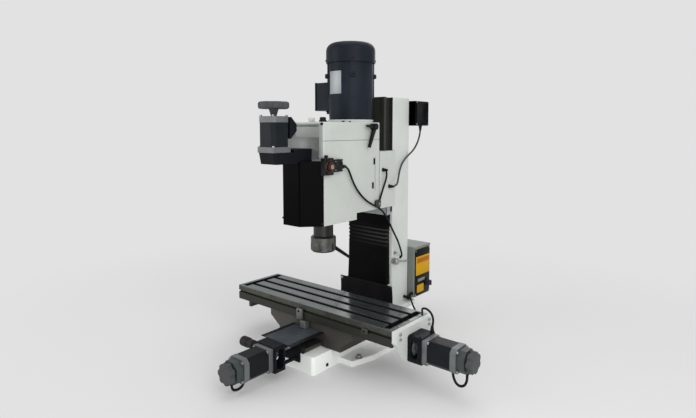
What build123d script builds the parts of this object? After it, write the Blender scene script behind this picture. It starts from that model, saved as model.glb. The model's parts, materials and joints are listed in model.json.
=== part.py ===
from build123d import *
import math
import os

# A dovetail-column bench mill converted to motor drive, in millimetres.
# +X is the operator's right, +Y runs back to the column, +Z is up.
# The origin is the centre of the four floor bolts, on the underside of the base.

# Clearances
SLIDE_GAP = 0.25
RUN_GAP = 0.05
FACE_GAP = 0.3
PRESS_GAP = 0.02

# Base and its front-to-back ways
BASE_FRONT = -316
BASE_REAR = 372
BASE_HALF = 118
BASE_DECK = 70
BASE_WALL = 18
BASE_ROUND = 14
TROUGH_SKIN = 14
FOOT_HALF = 208
FOOT_NOSE_HALF = 180
FOOT_FRONT = -165
FOOT_SHOULDER = -60
FOOT_REAR = 255
FOOT_THICK = 22
FLOOR_BOLT_X = 356
FLOOR_BOLT_Y = 240
FLOOR_BOLT_R = 7
Y_WAY_TOP = 94
Y_WAY_HALF = 78
Y_WAY_NECK = 66
Y_WAY_LAND = 8
Y_WAY_END = 140
SCREW_TROUGH_HALF = 34
SCREW_TROUGH_FLOOR = 58
SCREW_END_LAP = 10
SCREW_END_DEPTH = 14
COLUMN_SEAT = 95
COLUMN_BOLT_R = 6
COLUMN_BOLT_INSET = 16
COLUMN_BOLT_TRIM = 8
COLUMN_BOLT_DEPTH = 24

# Saddle
SADDLE_FRONT = -220
SADDLE_REAR = -20
SADDLE_HALF = 222
SADDLE_FOOT_HALF = 168
SADDLE_SHOULDER = 132
SADDLE_LIFT = 2
GIB_LIFT = 3
GIB_THICK = 5.5
GIB_ROOM = 6
STOP_LEFT = -24
STOP_RIGHT = 4
STOP_DEPTH = 26
STOP_FOOT = 130
STOP_DROP = 4
STOP_CHAMFER = 4
STOP_PIN_X = -10
STOP_PIN_Z = 145
STOP_PIN_R = 4
STOP_PIN = 5

# Work table
TABLE_LENGTH = 830
TABLE_WIDTH = 230
TABLE_TOP = 225
TABLE_SLAB = 38
TABLE_RIM = 12
TABLE_RIM_FOOT = 164
TABLE_SKIN = 4
X_WAY_NECK = 56
X_WAY_FOOT_HALF = 70
X_WAY_DEPTH = 24
T_SLOT_PITCH = 63
T_SLOT_WIDTH = 14
T_SLOT_THROAT = 14
T_SLOT_HEAD_WIDTH = 24
T_SLOT_HEAD = 10
GUTTER_WIDTH = 24
GUTTER_DEPTH = 12
GUTTER_INSET = 18
DOG_GROOVE = 8
DOG_GROOVE_DROP = 22
END_PLATE = 20
END_PLATE_LEFT = 15
END_PLATE_DROP = 2
END_PLATE_SKIRT = 6
END_PLATE_LEFT_FOOT = 106
END_PLATE_LEFT_TOP = 205

# Ball screws
SCREW_R = 10
JOURNAL_R = 8
X_SCREW_Z = 146
Y_SCREW_Z = 84
NUT_LENGTH = 60
X_NUT_ROOM = 26
X_NUT_TOP_GAP = 1
Y_NUT_ROOM = 28
Y_NUT_HALF = 24
Y_NUT_LIFT = 6
SCREW_SHOULDER = 6
SCREW_TAIL = 12
SCREW_TAIL_GAP = 2

# Stepper motors
MOTOR_SQUARE = 86
STATOR_SQUARE = 84
MOTOR_ROUND = 4
MOTOR_CHAMFER = 14
MOTOR_FLANGE = 20
MOTOR_STATOR = 88
MOTOR_CAP = 22
MOTOR_BOLT_PITCH = 69.6
MOTOR_BOLT_R = 3.3
MOTOR_SHAFT_R = 7
ENCODER_SQUARE = 78
ENCODER_CHAMFER = 20
ENCODER_LENGTH = 28
KNOB_R = 38
Z_KNOB_R = 56
KNOB_BITE_R = 15
KNOB_BITE_OUT = 10
KNOB_ROUND = 5
Z_KNOB_ROUND = 8
KNOB_THICK = 20
Z_KNOB_THICK = 26
KNOB_HUB_R = 14
KNOB_HUB = 5
KNOB_LOBES = 7
Z_KNOB_HUB = 26
Z_HUB_FOOT_R = 10
Z_HUB_TOP_R = 18
COUPLING_R = 20
COUPLING_LENGTH = 34

# Drive housings
X_HOUSING = 55
X_HOUSING_HALF = 48
X_HOUSING_WALL = 7
X_HOUSING_CHAMFER = 6
WINDOW_HEIGHT = 62
WINDOW_WIDTH = 26
Y_BRACKET_FRONT = -445
Y_BRACKET_HALF = 52
Y_BRACKET_PLATE = 8
Y_BRACKET_BOX = 51
Y_BRACKET_TOP = 132
Y_BRACKET_FOOT = 36
Y_BRACKET_CHAMFER = 5
Y_BRACKET_FLOOR = 10
Y_BRACKET_ROOF = 12
Y_BRACKET_BORE_R = 24
PILLAR_X = 72
PILLAR_Z = 64
PILLAR_R = 7
CONNECTOR_R = 19
CONNECTOR_BODY_R = 17
CONNECTOR_NECK_R = 13
CONNECTOR_NECK = 14
CONNECTOR_BODY = 46
CONNECTOR_REACH = 83
CONNECTOR_ROUND = 8
CONNECTOR_INSET = 4
CONNECTOR_Z = 111

# Column and its vertical ways
COLUMN_HALF = 85
COLUMN_FRONT = 233
COLUMN_REAR = 361
COLUMN_TOP = 1053
COLUMN_WALL = 12
COLUMN_FLANGE = 22
COLUMN_CROWN = 20
COLUMN_ROUND = 6
COLUMN_LIP = 14
Z_WAY_FRONT = 166
Z_WAY_LAND = 12
Z_WAY_NECK = 62
Z_WAY_NECK_DEPTH = 15
NUT_SLOT_HALF = 26
NUT_SLOT_LOW = 540
NUT_SLOT_HIGH = 925
ELEVATION_Y = 290
ELEVATION_R = 11
CRANK_Z = 264
CRANK_X = -165
CRANK_REACH = 192
CRANK_RISE = 32
BEVEL_R = 24
BEVEL_FACE = 10
CRANK_SHAFT_R = 9
CRANK_HUB_R = 18
CRANK_HUB_HALF = 9
CRANK_ARM_R = 7
CRANK_ARM_START = 10
GRIP_LENGTH = 95
GRIP_LAP = 5
GRIP_ROOT_R = 7.5
GRIP_R = 9
GRIP_ROUND = 4

# Head
HEAD_HALF = 105
HEAD_FRONT = -240
HEAD_REAR = 110
HEAD_BOTTOM = 551
HEAD_STEP = 27
HEAD_STEP_Y = -45
HEAD_SEAM = 871
HEAD_TOP = 942
HEAD_WALL = 14
HEAD_ROUND = 8
LID_SKIN = 12
LID_ROUND = 4
COUNTER_SEAT = 10
ARM_SLOT_HALF = 16
ARM_SLOT_FOOT = 615
ARM_SLOT_DROP = 5
GEAR_ROOM_FLOOR = 720
CORE_INNER = 54
PLATE_THICK = 12
PLATE_LEDGE = 6
HEAD_SLIDE_HALF = 108
HEAD_SLIDE_TOP = 821
HEAD_SLIDE_BACK = 222
SLIDE_ROUND = 4
NUT_ARM_GAP = 4
NUT_ARM_INSET = 20
NUT_ARM_FOOT = 640
NUT_ARM_TOP = 700
COVER_FRONT = -308
COVER_FACE_HALF = 44
COVER_TOP = 795
COVER_SKIN = 3
COVER_ROUND = 12
Z_BRACKET_TOP = 831
Z_BRACKET_HALF = 45
Z_BRACKET_WALL = 5
Z_BRACKET_FRONT = -428
Z_BRACKET_TAPER = 9
Z_BRACKET_ROUND = 10
Z_BRACKET_DROP = 6
Z_BRACKET_COVER_GAP = 4
Z_BRACKET_STEP = 11
Z_BRACKET_STEP_GAP = 12
Z_BRACKET_NOSE = 12
Z_MOTOR_Y = -389
Z_SCREW_Y = -275
Z_SCREW_R = 8
Z_SCREW_ROOM = 6
Z_SCREW_LIFT = 12
Z_JOURNAL_R = 6
PULLEY_R = 20
PULLEY_LENGTH = 20

# Spindle
SPINDLE_Y = -130
QUILL_R = 40
QUILL_BOTTOM = 487
QUILL_TOP = 780
ARM_HALF = 13
ARM_HEIGHT = 26
ARM_DROP = 2
ARM_INSET = 20
NUT_BOSS_R = 18
NUT_BOSS = 16
SPINDLE_R = 22
SPLINE_R = 16
DRAWBAR_R = 10
DRAWBAR_TOP = 957
DRAWBAR_CHAMFER = 2
DRAWBAR_ROOM = 1
SPLINE_DROP = 14
NOSE_BOTTOM = 424
NOSE_R = 51
NOSE_LENGTH = 61
NOSE_RECESS = 16
NOSE_CHAMFER = 6
NOSE_TOP_CHAMFER = 4
TOOL_ROOM = 4
SPANNER_SLOTS = 6
SPANNER_DEPTH = 10
SPANNER_WIDTH = 9
SPANNER_LIFT = 10
SPANNER_HEIGHT = 24
TOOL_BORE_R = 10
TOOL_BORE_DEPTH = 45

# Gear train
GEAR_MODULE = 2
PINION_TEETH = 24
COUNTER_BIG_TEETH = 56
COUNTER_SMALL_TEETH = 31
SPINDLE_GEAR_TEETH = 62
HIGH_GEAR_Z = 836
LOW_GEAR_Z = 806
GEAR_FACE = 18
TOOTH_ROOT = 1.2
TOOTH_TIP = 0.85
ROOT_SHARE = 0.28
PITCH_SHARE = 0.20
TIP_SHARE = 0.09
SLEEVE_R = 24
SLEEVE_COLLAR_R = 28
SLEEVE_COLLAR = 6
COUNTER_HUB_R = 20

# Spindle motor
MOTOR_Y = 43
BELL_TOP = 1045
BELL_FLANGE_R = 92
BELL_FOOT_R = 90
BELL_FLANGE = 12
BELL_FLOOR = 24
BODY_TOP = 1187
BODY_R = 95
BODY_BORE_R = 63
BODY_ROOF = 12
RIB_COUNT = 4
RIB_START = 45
RIB_RISE = 3
RIB_WIDTH = 22
COWL_TOP = 1270
COWL_ROUND = 34
COWL_FOOT = 10
COWL_FOOT_BORE_R = 90
VENT_RINGS = ((24, 6), (44, 12), (60, 16))
VENT_LENGTH = 15
VENT_WIDTH = 6
COWL_R = 103
COWL_SKIN = 3
ROTOR_SHAFT_R = 12
ROTOR_CORE_R = 61
ROTOR_CORE_LIFT = 16
ROTOR_CORE_DROP = 24
PLATE_SHAFT_ROOM = 4
LID_SHAFT_ROOM = 14
FAN_HUB_R = 26
FAN_LIFT = 12
FAN_TOP = 44
FAN_BLADES = 8
FAN_BLADE_R = 54
FAN_BLADE_LENGTH = 66
FAN_BLADE_THICK = 3
FAN_BLADE_LIFT = 14
FAN_BLADE = 26
TERMINAL_REACH = 160
TERMINAL_BOTTOM = 995
TERMINAL_TOP = 1112
TERMINAL_HALF = 45
TERMINAL_LAP = 30
TERMINAL_CHAMFER = 6

# Covers and electrical boxes
BELLOWS_HALF = 112
BELLOWS_FRONT = 150
BELLOWS_BACK = 178
BELLOWS_BOTTOM = 236
BELLOWS_WALL = 5
SKIRT_HALF = 150
SKIRT_FRONT = 146
SKIRT_BOTTOM = 160
SHEET = 4
APRON_FRONT = -345
APRON_BOTTOM = 126
APRON_LAP = 6
CABINET_HALF = 120
CABINET_BOTTOM = 127
CABINET_TOP = 363
CABINET_REAR = 500
CABINET_SKIN = 3
CABINET_ROUND = 5
JUNCTION_LEFT = 40
JUNCTION_RIGHT = 120
JUNCTION_REAR = 470
JUNCTION_BOTTOM = 930
JUNCTION_TOP = 1042
BOX_WALL = 4
BOX_ROUND = 5

# Hand controls
LEVER_Y = 52
LEVER_Z = 925
LEVER_HUB_R = 13
LEVER_HUB = 26
LEVER_SEAT = 2
LEVER_SHAFT = 8
LEVER_ARM_X = 16
LEVER_ROOT = 6
LEVER_HANDLE = 92
LEVER_POINTER = 54
LEVER_DROOP = (0, -0.44, -1)
POINTER_WAY = (0, -1, 0.06)
HANDLE_ROOT = (12, 16)
HANDLE_END = (9, 10)
POINTER_ROOT = (14, 18)
POINTER_END = (8, 7)
SWITCH_FRONT = -256
SWITCH_STEP = -206
SWITCH_REAR = -153
SWITCH_HEAD_HALF = 32
SWITCH_BOTTOM = 754
SWITCH_TOP = 801
SWITCH_DEPTH = 22
SWITCH_CHAMFER = 3
BUTTON_Y = -232
BUTTON_Z = 776
BUTTON_R = 18
BUTTON_BORE = 16
BUTTON_STEM_R = 10
BUTTON_STEM = 9
BUTTON_PROUD = 6
BUTTON_CAP = 9
BUTTON_ROUND = 4
DIAL_Y = 468
DIAL_Z = 180
DIAL_R = 13
DIAL_LENGTH = 26
DIAL_SHAFT_R = 4
DIAL_SHAFT = 8
DIAL_ROUND = 3
DIAL_GRIP = 4
DIAL_GRIP_HALF = 3
DIAL_GRIP_INSET = 2

# Cables
CABLE = 8
LEAD = 9
CABLE_HOLE_R = 8
CABLE_HOLE_Y = 298
CABLE_HOLE_Z = 328
LEAD_INSET = 10
LEAD_END_INSET = 6

# Places worked out from the sizes above
TABLE_Y = (SADDLE_FRONT + SADDLE_REAR) / 2
TABLE_END = TABLE_LENGTH / 2
TABLE_UNDER = TABLE_TOP - TABLE_SLAB
TABLE_WAY_FOOT = TABLE_UNDER - X_WAY_DEPTH
SADDLE_TOP = TABLE_UNDER - SLIDE_GAP
X_MOTOR_FACE = TABLE_END + END_PLATE + X_HOUSING
GEAR_ROOM_HALF = HEAD_HALF - HEAD_WALL - PLATE_LEDGE
COUNTER_Y = MOTOR_Y - GEAR_MODULE * (PINION_TEETH + COUNTER_BIG_TEETH) / 2
PLATE_BOTTOM = HEAD_SEAM - PLATE_THICK
SLIDE_BOTTOM = HEAD_BOTTOM + HEAD_STEP
SHAFT_BORE_R = MOTOR_SHAFT_R + RUN_GAP
MOTOR_LENGTH = MOTOR_FLANGE + MOTOR_STATOR + MOTOR_CAP
Y_SCREW_END = Y_WAY_END - SCREW_END_LAP
COLUMN_BOLT_X = 2 * (BASE_HALF - COLUMN_BOLT_INSET)
COLUMN_BOLT_Y = COLUMN_REAR - Z_WAY_FRONT - COLUMN_BOLT_TRIM
COLUMN_MIDDLE = (Z_WAY_FRONT + COLUMN_REAR) / 2
PULLEY_FOOT = COVER_TOP + FACE_GAP

X_MOTOR = Plane((X_MOTOR_FACE, TABLE_Y, X_SCREW_Z), x_dir=(0, 1, 0), z_dir=(1, 0, 0))
Y_MOTOR = Plane((0, Y_BRACKET_FRONT, Y_SCREW_Z), x_dir=(1, 0, 0), z_dir=(0, -1, 0))
Z_MOTOR = Plane((0, Z_MOTOR_Y, Z_BRACKET_TOP), x_dir=(1, 0, 0), z_dir=(0, 0, 1))

os.makedirs("parts", exist_ok=True)


def save(builder, name):
    builder.part.label = name
    export_step(builder.part, f"parts/{name}.step")


def front_plane(y):
    """A sketch plane facing the operator: its own x is +X and its own y is +Z."""
    return Plane((0, y, 0), x_dir=(1, 0, 0), z_dir=(0, -1, 0))


def side_plane(x):
    """A sketch plane facing +X: its own x is +Y and its own y is +Z."""
    return Plane((x, 0, 0), x_dir=(0, 1, 0), z_dir=(1, 0, 0))


def block(low, high, mode=Mode.ADD):
    """A box between two corners, added to or cut from the part being built."""
    size = [b - a for a, b in zip(low, high)]
    middle = tuple((a + b) / 2 for a, b in zip(low, high))
    with Locations(middle):
        Box(*size, mode=mode)


def rod(plane, radius, start, end, mode=Mode.ADD):
    """A round bar on a plane's own z axis, between two heights above it."""
    with BuildSketch(plane.offset(start)) as disc:
        Circle(radius)
    extrude(disc.sketch, amount=end - start, mode=mode)


def outline(plane, points, depth, mode=Mode.ADD):
    """A prism of a straight-sided outline."""
    with BuildSketch(plane) as shape:
        with BuildLine():
            Polyline(*points, close=True)
        make_face()
    extrude(shape.sketch, amount=depth, mode=mode)


# Base casting
with BuildPart() as base:
    block((-BASE_HALF, BASE_FRONT, 0), (BASE_HALF, BASE_REAR, BASE_DECK))
    fillet(base.edges().filter_by(Axis.Z), BASE_ROUND)
    foot = [
        (-FOOT_NOSE_HALF, FOOT_FRONT),
        (FOOT_NOSE_HALF, FOOT_FRONT),
        (FOOT_HALF, FOOT_SHOULDER),
        (FOOT_HALF, FOOT_REAR),
        (-FOOT_HALF, FOOT_REAR),
        (-FOOT_HALF, FOOT_SHOULDER),
    ]
    outline(Plane.XY, foot, FOOT_THICK)
    block((-BASE_HALF, Y_WAY_END, BASE_DECK), (BASE_HALF, BASE_REAR, COLUMN_SEAT))
    way = [
        (-Y_WAY_NECK, BASE_DECK),
        (Y_WAY_NECK, BASE_DECK),
        (Y_WAY_HALF, Y_WAY_TOP - Y_WAY_LAND),
        (Y_WAY_HALF, Y_WAY_TOP),
        (-Y_WAY_HALF, Y_WAY_TOP),
        (-Y_WAY_HALF, Y_WAY_TOP - Y_WAY_LAND),
    ]
    outline(front_plane(Y_WAY_END), way, Y_WAY_END - BASE_FRONT)
    block(
        (-SCREW_TROUGH_HALF, BASE_FRONT, SCREW_TROUGH_FLOOR),
        (SCREW_TROUGH_HALF, Y_SCREW_END, Y_WAY_TOP),
        Mode.SUBTRACT,
    )
    block(
        (-BASE_HALF + BASE_WALL, BASE_FRONT + BASE_WALL, 0),
        (BASE_HALF - BASE_WALL, BASE_REAR - BASE_WALL, SCREW_TROUGH_FLOOR - TROUGH_SKIN),
        Mode.SUBTRACT,
    )
    with Locations((0, 0, FOOT_THICK)):
        with GridLocations(FLOOR_BOLT_X, FLOOR_BOLT_Y, 2, 2):
            Hole(FLOOR_BOLT_R, FOOT_THICK)
    screw_end = Plane((0, Y_SCREW_END, Y_SCREW_Z), x_dir=(1, 0, 0), z_dir=(0, 1, 0))
    rod(screw_end, JOURNAL_R + RUN_GAP, 0, SCREW_END_DEPTH, Mode.SUBTRACT)
    with Locations((0, COLUMN_MIDDLE, COLUMN_SEAT)):
        with GridLocations(COLUMN_BOLT_X, COLUMN_BOLT_Y, 2, 2):
            Hole(COLUMN_BOLT_R, COLUMN_BOLT_DEPTH)
save(base, "base_casting")

# Column casting: a hollow box with the vertical dovetail way on its front
with BuildPart() as column:
    block((-COLUMN_HALF, COLUMN_FRONT, COLUMN_SEAT), (COLUMN_HALF, COLUMN_REAR, COLUMN_TOP))
    fillet(column.edges().filter_by(Axis.Z), COLUMN_ROUND)
    neck_front = COLUMN_FRONT - Z_WAY_NECK_DEPTH
    way = [
        (-Z_WAY_NECK, COLUMN_FRONT + COLUMN_WALL),
        (-Z_WAY_NECK, neck_front),
        (-COLUMN_HALF, Z_WAY_FRONT + Z_WAY_LAND),
        (-COLUMN_HALF, Z_WAY_FRONT),
        (COLUMN_HALF, Z_WAY_FRONT),
        (COLUMN_HALF, Z_WAY_FRONT + Z_WAY_LAND),
        (Z_WAY_NECK, neck_front),
        (Z_WAY_NECK, COLUMN_FRONT + COLUMN_WALL),
    ]
    outline(Plane.XY.offset(COLUMN_SEAT), way, COLUMN_TOP - COLUMN_SEAT)
    block(
        (-BASE_HALF, Z_WAY_FRONT - COLUMN_LIP, COLUMN_SEAT),
        (BASE_HALF, BASE_REAR, COLUMN_SEAT + COLUMN_FLANGE),
    )
    block(
        (-COLUMN_HALF + COLUMN_WALL, COLUMN_FRONT + COLUMN_WALL, COLUMN_SEAT),
        (COLUMN_HALF - COLUMN_WALL, COLUMN_REAR - COLUMN_WALL, COLUMN_TOP - COLUMN_CROWN),
        Mode.SUBTRACT,
    )
    block(
        (-NUT_SLOT_HALF, Z_WAY_FRONT, NUT_SLOT_LOW),
        (NUT_SLOT_HALF, COLUMN_FRONT + COLUMN_WALL, NUT_SLOT_HIGH),
        Mode.SUBTRACT,
    )
    elevation_axis = Plane((0, ELEVATION_Y, 0))
    rod(elevation_axis, JOURNAL_R + RUN_GAP, COLUMN_TOP - COLUMN_CROWN, COLUMN_TOP, Mode.SUBTRACT)
    crank_axis = Plane((0, ELEVATION_Y, CRANK_Z), x_dir=(0, 1, 0), z_dir=(-1, 0, 0))
    rod(crank_axis, CRANK_SHAFT_R + RUN_GAP, COLUMN_HALF - COLUMN_WALL, COLUMN_HALF, Mode.SUBTRACT)
    cable_axis = Plane((0, CABLE_HOLE_Y, CABLE_HOLE_Z), x_dir=(0, 1, 0), z_dir=(1, 0, 0))
    rod(cable_axis, CABLE_HOLE_R, COLUMN_HALF - COLUMN_WALL, COLUMN_HALF, Mode.SUBTRACT)
    with Locations((0, COLUMN_MIDDLE, COLUMN_SEAT + COLUMN_FLANGE)):
        with GridLocations(COLUMN_BOLT_X, COLUMN_BOLT_Y, 2, 2):
            Hole(COLUMN_BOLT_R + FACE_GAP, COLUMN_FLANGE)
save(column, "column_casting")

# Saddle: it clasps the base ways below and the table ways above
with BuildPart() as saddle:
    shape = [
        (-SADDLE_FOOT_HALF, BASE_DECK + SADDLE_LIFT),
        (SADDLE_FOOT_HALF, BASE_DECK + SADDLE_LIFT),
        (SADDLE_FOOT_HALF, Y_WAY_TOP),
        (SADDLE_HALF, SADDLE_SHOULDER),
        (SADDLE_HALF, SADDLE_TOP),
        (-SADDLE_HALF, SADDLE_TOP),
        (-SADDLE_HALF, SADDLE_SHOULDER),
        (-SADDLE_FOOT_HALF, Y_WAY_TOP),
    ]
    outline(front_plane(SADDLE_REAR), shape, SADDLE_REAR - SADDLE_FRONT)
    way_room = [
        (-Y_WAY_NECK - SLIDE_GAP, BASE_DECK),
        (Y_WAY_NECK + GIB_ROOM + SLIDE_GAP, BASE_DECK),
        (Y_WAY_HALF + GIB_ROOM + SLIDE_GAP, Y_WAY_TOP - Y_WAY_LAND),
        (Y_WAY_HALF + GIB_ROOM + SLIDE_GAP, Y_WAY_TOP + SLIDE_GAP),
        (-Y_WAY_HALF - SLIDE_GAP, Y_WAY_TOP + SLIDE_GAP),
        (-Y_WAY_HALF - SLIDE_GAP, Y_WAY_TOP - Y_WAY_LAND),
    ]
    outline(front_plane(SADDLE_REAR), way_room, SADDLE_REAR - SADDLE_FRONT, Mode.SUBTRACT)
    table_room = [
        (TABLE_Y - X_WAY_NECK - GIB_ROOM - SLIDE_GAP, SADDLE_TOP),
        (TABLE_Y - X_WAY_FOOT_HALF - GIB_ROOM - SLIDE_GAP, TABLE_WAY_FOOT - SLIDE_GAP),
        (TABLE_Y + X_WAY_FOOT_HALF + SLIDE_GAP, TABLE_WAY_FOOT - SLIDE_GAP),
        (TABLE_Y + X_WAY_NECK + SLIDE_GAP, SADDLE_TOP),
    ]
    outline(side_plane(-SADDLE_HALF), table_room, 2 * SADDLE_HALF, Mode.SUBTRACT)
    block(
        (-SADDLE_HALF, TABLE_Y - X_NUT_ROOM, X_SCREW_Z - X_NUT_ROOM),
        (SADDLE_HALF, TABLE_Y + X_NUT_ROOM, TABLE_WAY_FOOT),
        Mode.SUBTRACT,
    )
    block(
        (-Y_NUT_ROOM, SADDLE_FRONT, Y_WAY_TOP),
        (Y_NUT_ROOM, SADDLE_REAR, Y_SCREW_Z + Y_NUT_HALF),
        Mode.SUBTRACT,
    )
save(saddle, "saddle_casting")

# Gib strips: one beside the base way, one beside the table way
with BuildPart() as gibs:
    lean = (Y_WAY_HALF - Y_WAY_NECK) / (Y_WAY_TOP - Y_WAY_LAND - BASE_DECK)
    foot_x = Y_WAY_NECK + SLIDE_GAP + GIB_LIFT * lean
    head_x = Y_WAY_HALF + SLIDE_GAP
    strip = [
        (foot_x, BASE_DECK + GIB_LIFT),
        (foot_x + GIB_THICK, BASE_DECK + GIB_LIFT),
        (head_x + GIB_THICK, Y_WAY_TOP - Y_WAY_LAND),
        (head_x + GIB_THICK, Y_WAY_TOP),
        (head_x, Y_WAY_TOP),
        (head_x, Y_WAY_TOP - Y_WAY_LAND),
    ]
    outline(front_plane(SADDLE_REAR), strip, SADDLE_REAR - SADDLE_FRONT)
    strip = [
        (TABLE_Y - X_WAY_NECK - SLIDE_GAP, SADDLE_TOP),
        (TABLE_Y - X_WAY_NECK - SLIDE_GAP - GIB_THICK, SADDLE_TOP),
        (TABLE_Y - X_WAY_FOOT_HALF - SLIDE_GAP - GIB_THICK, TABLE_WAY_FOOT),
        (TABLE_Y - X_WAY_FOOT_HALF - SLIDE_GAP, TABLE_WAY_FOOT),
    ]
    outline(side_plane(-SADDLE_HALF), strip, 2 * SADDLE_HALF)
save(gibs, "gib_strips")

# Ball nuts of the two table screws, both bolted to the saddle
with BuildPart() as nuts:
    block(
        (-NUT_LENGTH / 2, TABLE_Y - X_NUT_ROOM + FACE_GAP, X_SCREW_Z - X_NUT_ROOM),
        (NUT_LENGTH / 2, TABLE_Y + X_NUT_ROOM - FACE_GAP, TABLE_WAY_FOOT - X_NUT_TOP_GAP),
    )
    x_axis = Plane((0, TABLE_Y, X_SCREW_Z), x_dir=(0, 1, 0), z_dir=(1, 0, 0))
    rod(x_axis, SCREW_R + RUN_GAP, -NUT_LENGTH / 2, NUT_LENGTH / 2, Mode.SUBTRACT)
    block(
        (-Y_NUT_HALF, TABLE_Y - NUT_LENGTH / 2, SCREW_TROUGH_FLOOR + Y_NUT_LIFT),
        (Y_NUT_HALF, TABLE_Y + NUT_LENGTH / 2, Y_SCREW_Z + Y_NUT_HALF),
    )
    y_axis = Plane((0, TABLE_Y, Y_SCREW_Z), x_dir=(1, 0, 0), z_dir=(0, -1, 0))
    rod(y_axis, SCREW_R + RUN_GAP, -NUT_LENGTH / 2, NUT_LENGTH / 2, Mode.SUBTRACT)
save(nuts, "ball_nuts")

# Travel stop on the saddle's front, below the table rim
with BuildPart() as stop:
    stop_front = SADDLE_FRONT - STOP_DEPTH
    block((STOP_LEFT, stop_front, STOP_FOOT), (STOP_RIGHT, SADDLE_FRONT, TABLE_RIM_FOOT - STOP_DROP))
    chamfer(stop.edges().group_by(Axis.Y)[0], STOP_CHAMFER)
    stop_axis = Plane((STOP_PIN_X, stop_front, STOP_PIN_Z), x_dir=(1, 0, 0), z_dir=(0, -1, 0))
    rod(stop_axis, STOP_PIN_R, 0, STOP_PIN)
save(stop, "table_stop_block")

# Work table with three slots, end gutters and a dog groove along its front
with BuildPart() as table:
    table_front = TABLE_Y - TABLE_WIDTH / 2
    table_back = TABLE_Y + TABLE_WIDTH / 2
    shape = [
        (table_front, TABLE_RIM_FOOT),
        (table_front + TABLE_RIM, TABLE_RIM_FOOT),
        (table_front + TABLE_RIM, TABLE_UNDER),
        (TABLE_Y - X_WAY_NECK, TABLE_UNDER),
        (TABLE_Y - X_WAY_FOOT_HALF, TABLE_WAY_FOOT),
        (TABLE_Y + X_WAY_FOOT_HALF, TABLE_WAY_FOOT),
        (TABLE_Y + X_WAY_NECK, TABLE_UNDER),
        (table_back - TABLE_RIM, TABLE_UNDER),
        (table_back - TABLE_RIM, TABLE_RIM_FOOT),
        (table_back, TABLE_RIM_FOOT),
        (table_back, TABLE_TOP),
        (table_front, TABLE_TOP),
    ]
    outline(side_plane(-TABLE_END), shape, TABLE_LENGTH)
    block(
        (-TABLE_END, TABLE_Y - X_NUT_ROOM, TABLE_WAY_FOOT),
        (TABLE_END, TABLE_Y + X_NUT_ROOM, TABLE_UNDER - TABLE_SKIN),
        Mode.SUBTRACT,
    )
    for row in (-1, 0, 1):
        slot_y = TABLE_Y + row * T_SLOT_PITCH
        throat_foot = TABLE_TOP - T_SLOT_THROAT
        block(
            (-TABLE_END, slot_y - T_SLOT_WIDTH / 2, throat_foot),
            (TABLE_END, slot_y + T_SLOT_WIDTH / 2, TABLE_TOP),
            Mode.SUBTRACT,
        )
        block(
            (-TABLE_END, slot_y - T_SLOT_HEAD_WIDTH / 2, throat_foot - T_SLOT_HEAD),
            (TABLE_END, slot_y + T_SLOT_HEAD_WIDTH / 2, throat_foot),
            Mode.SUBTRACT,
        )
    for side in (-1, 1):
        gutter_x = side * (TABLE_END - GUTTER_INSET - GUTTER_WIDTH / 2)
        block(
            (gutter_x - GUTTER_WIDTH / 2, table_front + TABLE_RIM, TABLE_TOP - GUTTER_DEPTH),
            (gutter_x + GUTTER_WIDTH / 2, table_back - TABLE_RIM, TABLE_TOP),
            Mode.SUBTRACT,
        )
    groove_top = TABLE_TOP - DOG_GROOVE_DROP
    block(
        (-TABLE_END, table_front, groove_top - DOG_GROOVE),
        (TABLE_END, table_front + DOG_GROOVE, groove_top),
        Mode.SUBTRACT,
    )
save(table, "work_table")

# Table end plates, which carry the long screw's bearings
with BuildPart() as ends:
    wing = TABLE_WIDTH / 2
    shape = [
        (TABLE_Y - wing, TABLE_TOP - END_PLATE_DROP),
        (TABLE_Y - wing, TABLE_UNDER - END_PLATE_SKIRT),
        (TABLE_Y - X_HOUSING_HALF, X_SCREW_Z - X_HOUSING_HALF),
        (TABLE_Y + X_HOUSING_HALF, X_SCREW_Z - X_HOUSING_HALF),
        (TABLE_Y + wing, TABLE_UNDER - END_PLATE_SKIRT),
        (TABLE_Y + wing, TABLE_TOP - END_PLATE_DROP),
    ]
    outline(side_plane(TABLE_END), shape, END_PLATE)
    block(
        (-TABLE_END - END_PLATE_LEFT, TABLE_Y - X_HOUSING_HALF, END_PLATE_LEFT_FOOT),
        (-TABLE_END, TABLE_Y + X_HOUSING_HALF, END_PLATE_LEFT_TOP),
    )
    rod(x_axis, JOURNAL_R + RUN_GAP, -TABLE_END - END_PLATE_LEFT, TABLE_END + END_PLATE, Mode.SUBTRACT)
save(ends, "table_end_plates")

# Coupling housing at the right end of the table, with a window in each side
with BuildPart() as housing:
    start = TABLE_END + END_PLATE
    block(
        (start, TABLE_Y - X_HOUSING_HALF, X_SCREW_Z - X_HOUSING_HALF),
        (X_MOTOR_FACE, TABLE_Y + X_HOUSING_HALF, X_SCREW_Z + X_HOUSING_HALF),
    )
    chamfer(housing.edges().filter_by(Axis.X), X_HOUSING_CHAMFER)
    rod(x_axis, X_HOUSING_HALF - X_HOUSING_WALL, start, X_MOTOR_FACE, Mode.SUBTRACT)
    with BuildSketch(front_plane(TABLE_Y - X_HOUSING_HALF)):
        with Locations((start + X_HOUSING / 2, X_SCREW_Z)):
            SlotOverall(WINDOW_HEIGHT, WINDOW_WIDTH, rotation=90)
    extrude(amount=-2 * X_HOUSING_HALF, mode=Mode.SUBTRACT)
save(housing, "x_drive_housing")

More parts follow.
